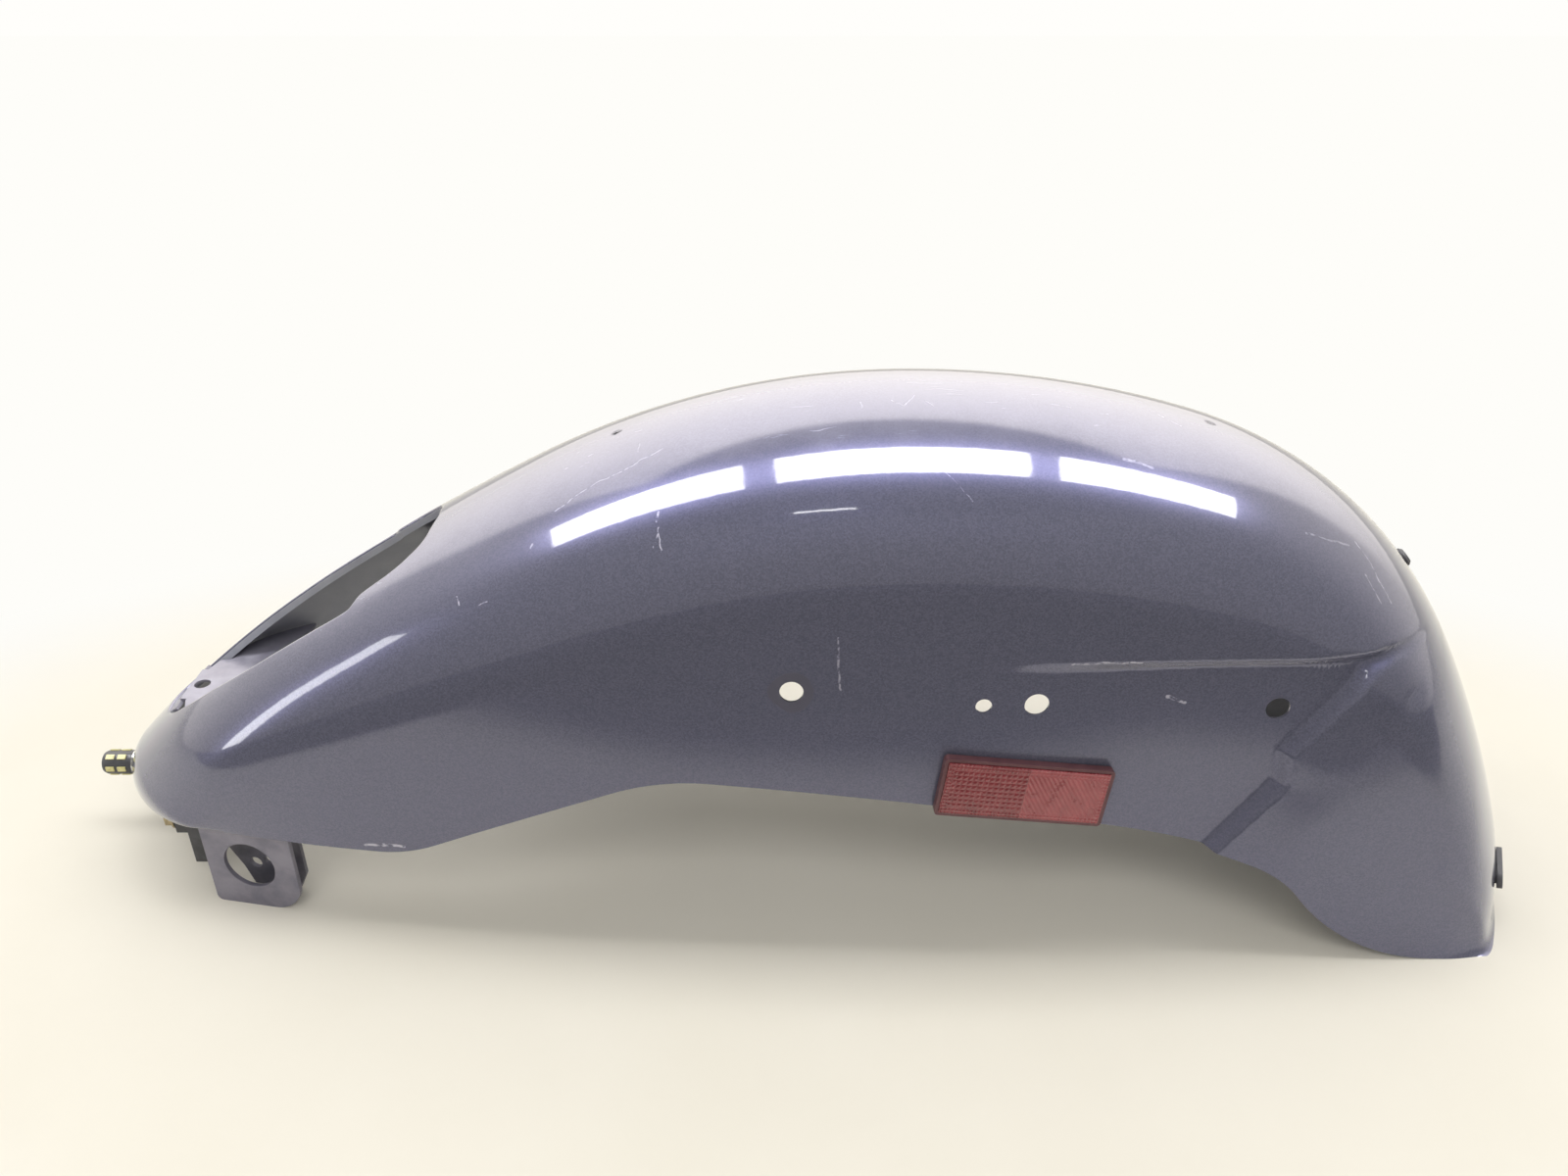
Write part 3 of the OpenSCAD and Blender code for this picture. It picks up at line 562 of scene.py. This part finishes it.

# Scratches, scuffs and one bare chip at the lower edge: half width in millimetres, strength, then
# the points, read in the 1600 by 1200 picture and laid on the skin along the camera's rays.
picture_h = 1200
scratches_px = ((0.6, 0.7, ((566, 521), (588, 505), (611, 492), (644, 476), (676, 458))),
                (0.6, 0.6, ((652, 460), (654, 452))), (0.9, 1, ((672, 522), (670, 533))),
                (0.5, 0.9, ((673, 539), (668, 557))), (0.5, 0.9, ((672, 543), (676, 563))),
                (0.8, 0.9, ((543, 555), (541, 560))), (0.6, 0.9, ((467, 609), (468, 618))),
                (0.5, 0.7, ((488, 618), (496, 614))), (0.5, 0.9, ((910, 408), (924, 414), (934, 403))),
                (0.5, 0.8, ((946, 410), (956, 416))), (0.6, 0.8, ((1075, 412), (1093, 416))),
                (0.5, 0.8, ((878, 410), (880, 416))),
                (0.8, 0.6, ((1127, 398), (1155, 406), (1183, 424), (1204, 434))),
                (0.5, 0.8, ((926, 464), (945, 470), (962, 480), (993, 511))),
                (1.6, 0.5, ((1147, 468), (1175, 478))), (0.7, 0.8, ((1382, 553), (1404, 585), (1420, 617))),
                (0.6, 0.7, ((1392, 585), (1410, 617))), (0.9, 0.6, ((1332, 545), (1376, 557))),
                (0.9, 0.7, ((1095, 678), (1165, 676))), (1.1, 0.7, ((1190, 712), (1210, 716))),
                (0.8, 0.5, ((855, 650), (858, 705))), (1.3, 1, ((372, 862), (412, 863))))


def on_paint(px, py):
    """Point of the skin that the camera sees at a point of the picture."""
    way = Vector((px - picture_w / 2, picture_h / 2 - py, -focal_px)).normalized()
    way.rotate(camera.rotation_euler)
    seen, point, _, _ = skin.ray_cast(camera.location, way)
    if not seen:
        raise ValueError("no skin at picture point %g, %g" % (px, py))
    return point


bpy.context.view_layer.update()
strokes = [(on_paint(*p), on_paint(*q), width, strength)
           for width, strength, line in scratches_px for p, q in zip(line, line[1:])]
worn = None
for start, end, width, strength in strokes:
    reach = end - start
    gone = add(tree, "ShaderNodeVectorMath", {"operation": "SUBTRACT"}, {0: bent, 1: start}).outputs[0]
    share = add(tree, "ShaderNodeVectorMath", {"operation": "DOT_PRODUCT"},
                {0: gone, 1: reach / reach.length_squared}).outputs["Value"]
    share = add(tree, "ShaderNodeClamp", None, {"Value": share}).outputs[0]
    foot = add(tree, "ShaderNodeVectorMath", {"operation": "SCALE"}, {0: reach, "Scale": share}).outputs[0]
    far = add(tree, "ShaderNodeVectorMath", {"operation": "DISTANCE"}, {0: gone, 1: foot}).outputs["Value"]
    mark = add(tree, "ShaderNodeMapRange", {"interpolation_type": "SMOOTHSTEP"},
               {"Value": far, "From Min": width * 0.3 * MM, "From Max": width * MM, "To Min": strength,
                "To Max": 0.0}).outputs["Result"]
    worn = mark if worn is None else add(tree, "ShaderNodeMath", {"operation": "MAXIMUM"},
                                         {0: worn, 1: mark}).outputs[0]
broken = add(tree, "ShaderNodeTexNoise", None,
             {"Vector": place, "Scale": per_metre(3), "Detail": 4.0}).outputs["Fac"]
broken = add(tree, "ShaderNodeMapRange", None,
             {"Value": broken, "From Min": 0.38, "From Max": 0.55}).outputs["Result"]
worn = add(tree, "ShaderNodeMath", {"operation": "MULTIPLY"}, {0: worn, 1: broken}).outputs[0]
# Hairlines from wiping: thin broken streaks along the skin, most of them on the crown.
stretched = add(tree, "ShaderNodeVectorMath", {"operation": "MULTIPLY"},
                {0: bent, 1: (0.07, 1.0, 0.6)}).outputs[0]
streaks = add(tree, "ShaderNodeTexNoise", None,
              {"Vector": stretched, "Scale": per_metre(1.8), "Detail": 2.0}).outputs["Fac"]
hair = add(tree, "ShaderNodeMapRange", None,
           {"Value": streaks, "From Min": 0.66, "From Max": 0.74}).outputs["Result"]
patchy = add(tree, "ShaderNodeMapRange", None,
             {"Value": clouds, "From Min": 0.5, "From Max": 0.66}).outputs["Result"]
hair = add(tree, "ShaderNodeMath", {"operation": "MULTIPLY"}, {0: hair, 1: patchy}).outputs[0]
hair = add(tree, "ShaderNodeMath", {"operation": "MULTIPLY"},
           {0: hair, 1: add(tree, "ShaderNodeMapRange", None,
                            {"Value": upward, "To Min": 0.0, "To Max": 0.5}).outputs["Result"]}).outputs[0]
worn = add(tree, "ShaderNodeMath", {"operation": "MAXIMUM"}, {0: worn, 1: hair}).outputs[0]
# The crown made paler: dust haze and painted reflection of the wall, mixed in at up to 30 %.
haze_and_sheen_share = add(tree, "ShaderNodeMath", {"operation": "MULTIPLY"}, {0: dust_haze_and_painted_sheen, 1: 0.3}).outputs[0]
base = add(tree, "ShaderNodeMix", {"data_type": "RGBA"}, {0: haze_and_sheen_share, 6: base, 7: srgb("#a9a7b4")}).outputs[2]
base = add(tree, "ShaderNodeMix", {"data_type": "RGBA"}, {0: worn, 6: base, 7: srgb("#c3c1c9")}).outputs[2]
# The print of a washer round the front strut hole, and rust at the hole behind the crown.
print_r = 12.5
print_y = -113
from_hole = add(tree, "ShaderNodeVectorMath", {"operation": "DISTANCE"},
                {0: bent, 1: (zero_x * MM, print_y * MM, strut_hole_z * MM)}).outputs["Value"]
pressed = add(tree, "ShaderNodeMapRange", {"interpolation_type": "SMOOTHSTEP"},
              {"Value": from_hole, "From Min": (print_r - 0.5) * MM, "From Max": (print_r + 0.2) * MM,
               "To Min": 1.0, "To Max": 0.0}).outputs["Result"]
base = add(tree, "ShaderNodeMix", {"data_type": "RGBA"},
           {0: pressed, 6: base, 7: srgb("#5b5a60")}).outputs[2]
rust_x, rust_z, _ = along(crown_start, crown_runs, crown_holes[2][0])
from_rust = add(tree, "ShaderNodeVectorMath", {"operation": "DISTANCE"},
                {0: bent, 1: ((rust_x + zero_x) * MM, 0, rust_z * MM)}).outputs["Value"]
from_rust = add(tree, "ShaderNodeMath", {"operation": "MULTIPLY_ADD"},
                {0: broken, 1: 0.003, 2: from_rust}).outputs[0]
rusty = add(tree, "ShaderNodeMapRange", {"interpolation_type": "SMOOTHSTEP"},
            {"Value": from_rust, "From Min": 5.5 * MM, "From Max": 8.5 * MM,
             "To Min": 1.0, "To Max": 0.0}).outputs["Result"]
base = add(tree, "ShaderNodeMix", {"data_type": "RGBA"}, {0: rusty, 6: base, 7: srgb("#76604f")}).outputs[2]
dulled = add(tree, "ShaderNodeMath", {"operation": "MULTIPLY"}, {0: pressed, 1: 0.7}).outputs[0]
dulled = add(tree, "ShaderNodeMath", {"operation": "MAXIMUM"}, {0: dulled, 1: rusty}).outputs[0]
dulled = add(tree, "ShaderNodeMath", {"operation": "MAXIMUM"}, {0: dulled, 1: worn}).outputs[0]
rough = add(tree, "ShaderNodeMapRange", None,
            {"Value": dulled, "To Min": 0.25, "To Max": 0.55}).outputs["Result"]
coat = add(tree, "ShaderNodeMapRange", None,
           {"Value": dulled, "To Min": 1.0, "To Max": 0.3}).outputs["Result"]
peel = add(tree, "ShaderNodeTexNoise", None,
           {"Vector": place, "Scale": per_metre(5), "Detail": 2.0}).outputs["Fac"]
peel = add(tree, "ShaderNodeBump", None,
           {"Strength": 0.25, "Distance": 0.00006, "Height": peel}).outputs["Normal"]
shader = add(tree, "ShaderNodeBsdfPrincipled", None,
             {"Base Color": base, "Metallic": 0.06, "Roughness": rough, "Specular IOR Level": 0.6,
              "Specular Tint": srgb("#a6a4ff"), "Coat Weight": coat,
              "Coat Roughness": 0.05, "Coat IOR": 1.5, "Coat Normal": peel, "Normal": peel})
add(tree, "ShaderNodeOutputMaterial", None, {"Surface": shader.outputs[0]})

# Underside and the upright part of the opening's lip: thin paint without lacquer, mottled, with its tone
# lightened as painted light, standing in for the light that reaches inside the nose.
under_paint, tree = new_material("thin_paint_lightened_as_painted_light")
place = add(tree, "ShaderNodeTexCoord").outputs["Object"]
tone_drift = add(tree, "ShaderNodeTexNoise", None, {"Vector": place, "Scale": per_metre(35), "Detail": 8.0,
                                              "Roughness": 0.7}).outputs["Fac"]
tone_drift = add(tree, "ShaderNodeMapRange", None,
           {"Value": tone_drift, "From Min": 0.35, "From Max": 0.7}).outputs["Result"]
# Both tones are pale on purpose: painted light inside the nose, not the paint's own colour.
base = add(tree, "ShaderNodeMix", {"data_type": "RGBA"},
           {0: tone_drift, 6: srgb("#a6a8b2"), 7: srgb("#bcbec5")}).outputs[2]
grain = add(tree, "ShaderNodeTexNoise", None,
            {"Vector": place, "Scale": per_metre(1.2), "Detail": 3.0}).outputs["Fac"]
grain = add(tree, "ShaderNodeBump", None,
            {"Strength": 0.4, "Distance": 0.0001, "Height": grain}).outputs["Normal"]
rough = add(tree, "ShaderNodeMapRange", None,
            {"Value": tone_drift, "To Min": 0.38, "To Max": 0.62}).outputs["Result"]
shader = add(tree, "ShaderNodeBsdfPrincipled", None,
             {"Base Color": base, "Metallic": 0.2, "Roughness": rough, "Normal": grain})
add(tree, "ShaderNodeOutputMaterial", None, {"Surface": shader.outputs[0]})
skin.data.materials[0] = paint
skin.data.materials[1] = under_paint
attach(skin, "root")
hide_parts("fender_skin")


# Nose plate and neck plate. Two flat steel plates welded across the inside of the nose, sprayed
# with the same paint but not polished. The nose plate has the bolt hole, the neck plate two slots.
def dress(name, material, edge_mm):
    """Gives a carried solid its material and rounds its edges a little, as a tool or a press does."""
    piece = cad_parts[name]
    for slot in piece.material_slots:
        slot.material = material
    weld = piece.modifiers.new("joined", "WELD")
    weld.merge_threshold = 0.00001
    bevel = piece.modifiers.new("edges", "BEVEL")
    bevel.width = edge_mm * MM
    bevel.segments = 2
    bevel.limit_method = "ANGLE"
    bevel.angle_limit = math.radians(35)
    bevel.harden_normals = True


def mottled(name, dark, light, cell_mm, rough_low, rough_high, metallic=0.0, bump_mm=0.02, coat=0.0):
    """A surface whose colour and gloss drift between two values, with a fine grain."""
    made, tree = new_material(name)
    place = add(tree, "ShaderNodeTexCoord").outputs["Object"]
    drift = add(tree, "ShaderNodeTexNoise", None,
                {"Vector": place, "Scale": per_metre(cell_mm), "Detail": 6.0,
                 "Roughness": 0.6}).outputs["Fac"]
    drift = add(tree, "ShaderNodeMapRange", None,
                {"Value": drift, "From Min": 0.35, "From Max": 0.65}).outputs["Result"]
    base = add(tree, "ShaderNodeMix", {"data_type": "RGBA"},
               {0: drift, 6: srgb(dark), 7: srgb(light)}).outputs[2]
    rough = add(tree, "ShaderNodeMapRange", None,
                {"Value": drift, "To Min": rough_low, "To Max": rough_high}).outputs["Result"]
    grain = add(tree, "ShaderNodeTexNoise", None,
                {"Vector": place, "Scale": per_metre(cell_mm / 12), "Detail": 3.0}).outputs["Fac"]
    grain = add(tree, "ShaderNodeBump", None,
                {"Strength": 0.5, "Distance": bump_mm * MM, "Height": grain}).outputs["Normal"]
    shader = add(tree, "ShaderNodeBsdfPrincipled", None,
                 {"Base Color": base, "Metallic": metallic, "Roughness": rough, "Normal": grain,
                  "Coat Weight": coat, "Coat Roughness": 0.08})
    add(tree, "ShaderNodeOutputMaterial", None, {"Surface": shader.outputs[0]})
    return made


# The nose plate's paint is made lighter, a painted reflection of the bright ceiling; the neck plate's is
# made darker, painted shade.
plate_paint = mottled("satin_paint_lightened_as_reflection", "#83818f", "#9b99a5", 18, 0.35, 0.55, 0.3)
neck_paint = mottled("satin_paint_in_shade", "#6d6c7a", "#8a8894", 20, 0.4, 0.6, 0.2)
dress("nose_plate", plate_paint, 0.4)
dress("neck_plate", neck_paint, 0.4)

# Frame tabs and cheek plates. Laser-cut steel plates welded under the nose: the tab takes the
# frame's boss in its big hole, and the cheek plate inside it carries the lamp's bracket.
tab_paint = mottled("satin_paint_on_tab", "#757381", "#8e8b98", 16, 0.35, 0.5, 0.3)
# The cheek plate's paint is the tab's made darker, painted shade inside the tab.
cheek_paint = mottled("satin_paint_darkened_as_shade", "#62616c", "#7d7b84", 14, 0.4, 0.6, 0.2)
for side in ("left", "right"):
    dress("tab_" + side, tab_paint, 0.5)
    dress("cheek_" + side, cheek_paint, 0.4)

# Lamp bracket with its bolts and washers. A bent black steel strip across the nose, held by a
# yellow-zinc hex bolt and a flat washer at each end.
black_steel = mottled("black_satin_steel", "#3c3c40", "#55555a", 10, 0.35, 0.55, 0.0)
yellow_zinc = mottled("yellow_zinc_plate", "#8d8169", "#b8ab8c", 3, 0.28, 0.5, 1.0, 0.01)
dress("lamp_bracket", black_steel, 0.4)
for side in ("left", "right"):
    dress("lamp_bolt_" + side, yellow_zinc, 0.4)
    dress("lamp_washer_" + side, yellow_zinc, 0.2)

# Lamp. A black plastic holder on the bracket, a nickel-plated neck with a flange, and a plug-in
# light with two rings of yellow chips.
black_plastic = mottled("black_lamp_plastic", "#3a3a3e", "#4a4a4e", 6, 0.35, 0.5, 0.0, 0.02)
nickel = mottled("bright_nickel_plate", "#b4b4b2", "#d2d2d0", 5, 0.12, 0.25, 1.0, 0.005)
phosphor = mottled("yellow_phosphor_in_resin", "#cfc682", "#e3db9c", 2, 0.25, 0.4, 0.0, 0.005, 0.5)
dress("bulb_holder", black_plastic, 0.5)
dress("bulb_neck", nickel, 0.3)
dress("bulb_body", black_plastic, 0.3)
dress("bulb_chips", phosphor, 0.15)

# Side reflectors. A dark red housing with a raised rim, a clear red lens moulded with prisms in
# its front half and ribs in its rear half, and a zinc stud with a hex nut inside the skin.
housing_red = mottled("dark_red_housing", "#5c3a3f", "#6b474b", 12, 0.3, 0.45, 0.0, 0.02)
lens_red = mottled("clear_red_lens", "#75292f", "#89353b", 8, 0.2, 0.3, 0.0, 0.005, 1.0)
# The ribbed half of the same red lens is made lighter, a painted glint of its ribs.
ribbed_red = mottled("ribbed_red_lens_painted_lighter", "#8f3b41", "#a34b50", 8, 0.25, 0.4, 0.0, 0.005, 1.0)
grey_zinc = mottled("grey_zinc_plate", "#8d8d8b", "#acacaa", 3, 0.3, 0.5, 1.0, 0.01)
lens_l, lens_w, lens_t = 92.6, 33.6, 3.5
prism_mm, rib_mm, dot_mm = 3.1, 2.3, 2.2
border_w, groove_end = 3.4, 4.0


def lens_height(u, v):
    """Relief of the lens face below its highest level, in millimetres."""
    edge = np.minimum(lens_l / 2 - np.abs(u), lens_w / 2 - np.abs(v))
    cell_u, cell_v = (u / prism_mm) % 1 - 0.5, (v / prism_mm) % 1 - 0.5
    prisms = 0.28 * (1 - 2 * np.maximum(np.abs(cell_u), np.abs(cell_v)))
    ribs = 0.55 * (1 - 2 * np.abs(((u * 0.82 + v * 0.57) / rib_mm) % 1 - 0.5))
    dots = 0.4 * np.clip(1.1 - 2.4 * np.hypot((u / dot_mm) % 1 - 0.5, (v / dot_mm) % 1 - 0.5), 0, 1)
    face = np.where(u < 0, prisms, ribs)
    face = np.where(edge < border_w, dots, face)
    face = np.where((edge > border_w) & (edge < groove_end) | (np.abs(u) < 0.5), 0.05, face)
    return 0.62 - face + np.where(edge < 0.5, 0.5, 0)


for side in ("left", "right"):
    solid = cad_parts["reflector_lens_" + side]
    corners = np.array([tuple(solid.matrix_world @ v.co) for v in solid.data.vertices]) / MM
    low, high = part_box("reflector_lens_" + side)
    across = np.linalg.svd(corners - corners.mean(0), full_matrices=False)[2]
    u, n = across[0], across[2]
    u = u * np.sign(u[0])
    n = n * np.sign(n[1]) * (-1 if side == "left" else 1)
    v = np.cross(n, u)
    span = [(corners @ w).min() + (corners @ w).max() for w in (u, v, n)]
    middle_at = (u * span[0] + v * span[1] + n * span[2]) / 2
    nu, nv = 265, 97
    us, vs = np.linspace(-lens_l / 2, lens_l / 2, nu), np.linspace(-lens_w / 2, lens_w / 2, nv)
    uu, vv = np.meshgrid(us, vs, indexing="ij")
    top = lens_t / 2 - lens_height(uu, vv)
    up = middle_at + uu[..., None] * u + vv[..., None] * v + top[..., None] * n
    down = middle_at + uu[..., None] * u + vv[..., None] * v - lens_t / 2 * n
    points = np.concatenate([up.reshape(-1, 3), down.reshape(-1, 3)])
    faces = []
    for i in range(nu - 1):
        for j in range(nv - 1):
            faces.append([i * nv + j, (i + 1) * nv + j, (i + 1) * nv + j + 1, i * nv + j + 1])
    loop = ([i * nv for i in range(nu)] + [(nu - 1) * nv + j for j in range(1, nv)]
            + [i * nv + nv - 1 for i in range(nu - 2, -1, -1)] + [j for j in range(nv - 2, 0, -1)])
    size = nu * nv
    for k, p in enumerate(loop):
        q = loop[(k + 1) % len(loop)]
        faces.append([p + size, q + size, q, p])
    faces.append([p + size for p in loop][::-1])
    ribbed = [1 if k < (nu - 1) * (nv - 1) and us[k // (nv - 1)] >= 0 else 0 for k in range(len(faces))]
    lens = put("prism_lens_" + side, points, faces, (lens_red, ribbed_red), ribbed)
    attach(lens, "root")
    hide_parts("reflector_lens_" + side)
    dress("reflector_housing_" + side, housing_red, 0.5)
    dress("reflector_stud_" + side, grey_zinc, 0.2)
    dress("reflector_nut_" + side, grey_zinc, 0.3)

# Tail plug and grommet. Soft black rubber pushed into an oval hole in the side of the tail and
# into a round one on its crown.
rubber = mottled("black_rubber", "#47464a", "#5b5a5d", 7, 0.55, 0.75, 0.0, 0.03)
dress("tail_plug", rubber, 0.6)
dress("tail_grommet", rubber, 0.4)

# Table, room and lights. A pale table, which ends in front of the fender in reflections, and a
# bright wall behind. Three light panels in the ceiling, a window on the left and a small tube in
# the ceiling. The lights named image are seen in reflections alone, and the other ones light the
# matt surfaces.
table_half = 6000
table_corners = [(-table_half, -table_half, 0), (table_half, -table_half, 0),
                 (table_half, table_half, 0), (-table_half, table_half, 0)]
table = put("table_top", table_corners, [[0, 1, 2, 3]])
table_white, tree = new_material("pale_table_top")
place = add(tree, "ShaderNodeTexCoord").outputs["Object"]
split_place = add(tree, "ShaderNodeSeparateXYZ", None, {0: place})
mottle = add(tree, "ShaderNodeTexNoise", None,
             {"Vector": place, "Scale": per_metre(180), "Detail": 5.0}).outputs["Fac"]
# The table's tone near the fender is set darker than the white beyond, as painted shade of the room in
# front of the fender.
pale = add(tree, "ShaderNodeMix", {"data_type": "RGBA"},
           {0: mottle, 6: srgb("#e2dccd"), 7: srgb("#ebe6da")}).outputs[2]
on_table = add(tree, "ShaderNodeMapRange", {"interpolation_type": "SMOOTHSTEP"},
               {"Value": split_place.outputs["Y"], "From Min": -0.36, "From Max": -0.29}).outputs["Result"]
room = add(tree, "ShaderNodeMix", {"data_type": "RGBA"},
           {0: on_table, 6: srgb("#2c2c2e"), 7: srgb("#e8e4d8")}).outputs[2]
path = add(tree, "ShaderNodeLightPath")
seen = add(tree, "ShaderNodeMix", {"data_type": "RGBA"},
           {0: path.outputs["Is Glossy Ray"], 6: pale, 7: room}).outputs[2]
matte = add(tree, "ShaderNodeBsdfDiffuse", None, {"Color": seen})
white = add(tree, "ShaderNodeEmission", None, {"Color": srgb("#fefdf9"), "Strength": 1.0})
flatter = add(tree, "ShaderNodeVectorMath", {"operation": "MULTIPLY"},
              {0: place, 1: (0.55, 1.0, 1.0)}).outputs[0]
from_middle = add(tree, "ShaderNodeVectorMath", {"operation": "LENGTH"}, {0: flatter}).outputs["Value"]
# Even beside the fender the camera sees 3 % of the white glow, a painted lift of the shadow on the table.
far_away = add(tree, "ShaderNodeMapRange", {"interpolation_type": "SMOOTHSTEP"},
               {"Value": from_middle, "From Min": 0.32, "From Max": 0.48,
                "To Min": 0.03, "To Max": 1.0}).outputs["Result"]
far_away = add(tree, "ShaderNodeMath", {"operation": "MULTIPLY"},
               {0: far_away, 1: path.outputs["Is Camera Ray"]}).outputs[0]
both = add(tree, "ShaderNodeMixShader", None, {0: far_away, 1: matte.outputs[0], 2: white.outputs[0]})
add(tree, "ShaderNodeOutputMaterial", None, {"Surface": both.outputs[0]})
table.data.materials.append(table_white)

panels = ((-2200, -676), (-490, 790), (940, 2130))
panel_y = (-200, 450)
panel_z = 2300
panel_light = 5.5
image_light = 19
image_z = panel_z - 30


def panel(name, centre, size, turn, radiance, seen_by):
    """A flat light of one radiance, seen by matt surfaces or by glossy ones."""
    data = bpy.data.lights.new(name, "AREA")
    data.shape = "RECTANGLE"
    data.size, data.size_y = size[0] * MM, size[1] * MM
    data.energy = radiance * math.pi * data.size * data.size_y
    lamp = bpy.data.objects.new(name, data)
    lamp.location = [v * MM for v in centre]
    lamp.rotation_euler = turn
    lamp.visible_camera = False
    lamp.visible_diffuse = seen_by == "matt"
    lamp.visible_glossy = seen_by == "glossy"
    bpy.context.scene.collection.objects.link(lamp)


for k, (x0, x1) in enumerate(panels):
    centre = ((x0 + x1) / 2, sum(panel_y) / 2, panel_z)
    size = (x1 - x0, panel_y[1] - panel_y[0])
    panel("ceiling_light_%d" % k, centre, size, (0, 0, 0), panel_light, "matt")
    panel("ceiling_image_%d" % k, (centre[0], centre[1], image_z), size, (0, 0, 0), image_light, "glossy")
slant = Matrix.Rotation(math.radians(-11), 3, "X") @ Matrix.Rotation(math.radians(-90), 3, "Y")
panel("window_image", (-2500, -730, 760), (1300, 240), slant.to_euler(), 9, "glossy")
panel("tube_image", (-245, -1105, image_z), (370, 50), (0, 0, math.radians(-4)), 18, "glossy")
fill = Matrix.Rotation(math.radians(42), 3, "X")
panel("light_behind_camera", (0, -1800, 2200), (2200, 700), fill.to_euler(), 4, "matt")

world = bpy.data.worlds.new("room")
bpy.context.scene.world = world
world.use_nodes = True
tree = world.node_tree
tree.nodes.clear()
way = add(tree, "ShaderNodeTexCoord").outputs["Generated"]
up = add(tree, "ShaderNodeSeparateXYZ", None, {0: way}).outputs["Z"]
level_way = add(tree, "ShaderNodeVectorMath", {"operation": "MULTIPLY"}, {0: way, 1: (1, 1, 0)}).outputs[0]
level_way = add(tree, "ShaderNodeVectorMath", {"operation": "NORMALIZE"}, {0: level_way}).outputs[0]
back = add(tree, "ShaderNodeSeparateXYZ", None, {0: level_way}).outputs["Y"]
behind = add(tree, "ShaderNodeMapRange", {"interpolation_type": "SMOOTHSTEP"},
             {"Value": back, "From Min": 0.45, "From Max": 0.54}).outputs["Result"]
beside = add(tree, "ShaderNodeMapRange", {"interpolation_type": "SMOOTHSTEP"},
             {"Value": back, "From Min": -0.5, "From Max": 0.3,
              "To Min": 0.35, "To Max": 1.2}).outputs["Result"]
brighter = add(tree, "ShaderNodeMapRange", None,
               {"Value": up, "From Min": 0.05, "From Max": 0.75,
                "To Min": 0.2, "To Max": 2.7}).outputs["Result"]
below = add(tree, "ShaderNodeMapRange", {"interpolation_type": "SMOOTHSTEP"},
            {"Value": up, "From Min": 0.79, "From Max": 0.84,
             "To Min": 1.0, "To Max": 0.0}).outputs["Result"]
wall = add(tree, "ShaderNodeMath", {"operation": "MULTIPLY"}, {0: behind, 1: below}).outputs[0]
wall = add(tree, "ShaderNodeMath", {"operation": "MULTIPLY"}, {0: wall, 1: brighter}).outputs[0]
ceiling = add(tree, "ShaderNodeMapRange", None,
              {"Value": below, "To Min": 0.45, "To Max": 1.0}).outputs["Result"]
glossy = add(tree, "ShaderNodeMath", {"operation": "MULTIPLY_ADD"},
             {0: beside, 1: ceiling, 2: wall}).outputs[0]
matt = add(tree, "ShaderNodeMapRange", None,
           {"Value": behind, "To Min": 0.42, "To Max": 0.9}).outputs["Result"]
path = add(tree, "ShaderNodeLightPath")
matt_or_glossy = add(tree, "ShaderNodeMix", {"data_type": "FLOAT"},
                     {0: path.outputs["Is Glossy Ray"], 2: matt, 3: glossy}).outputs[0]
strength = add(tree, "ShaderNodeMix", {"data_type": "FLOAT"},
               {0: path.outputs["Is Camera Ray"], 2: matt_or_glossy, 3: 1.0}).outputs[0]
tone = add(tree, "ShaderNodeMix", {"data_type": "RGBA"},
           {0: path.outputs["Is Glossy Ray"], 6: srgb("#fffefb"), 7: srgb("#fff9ef")}).outputs[2]
light = add(tree, "ShaderNodeBackground", None, {"Color": tone, "Strength": strength})
add(tree, "ShaderNodeOutputWorld", None, {"Surface": light.outputs[0]})
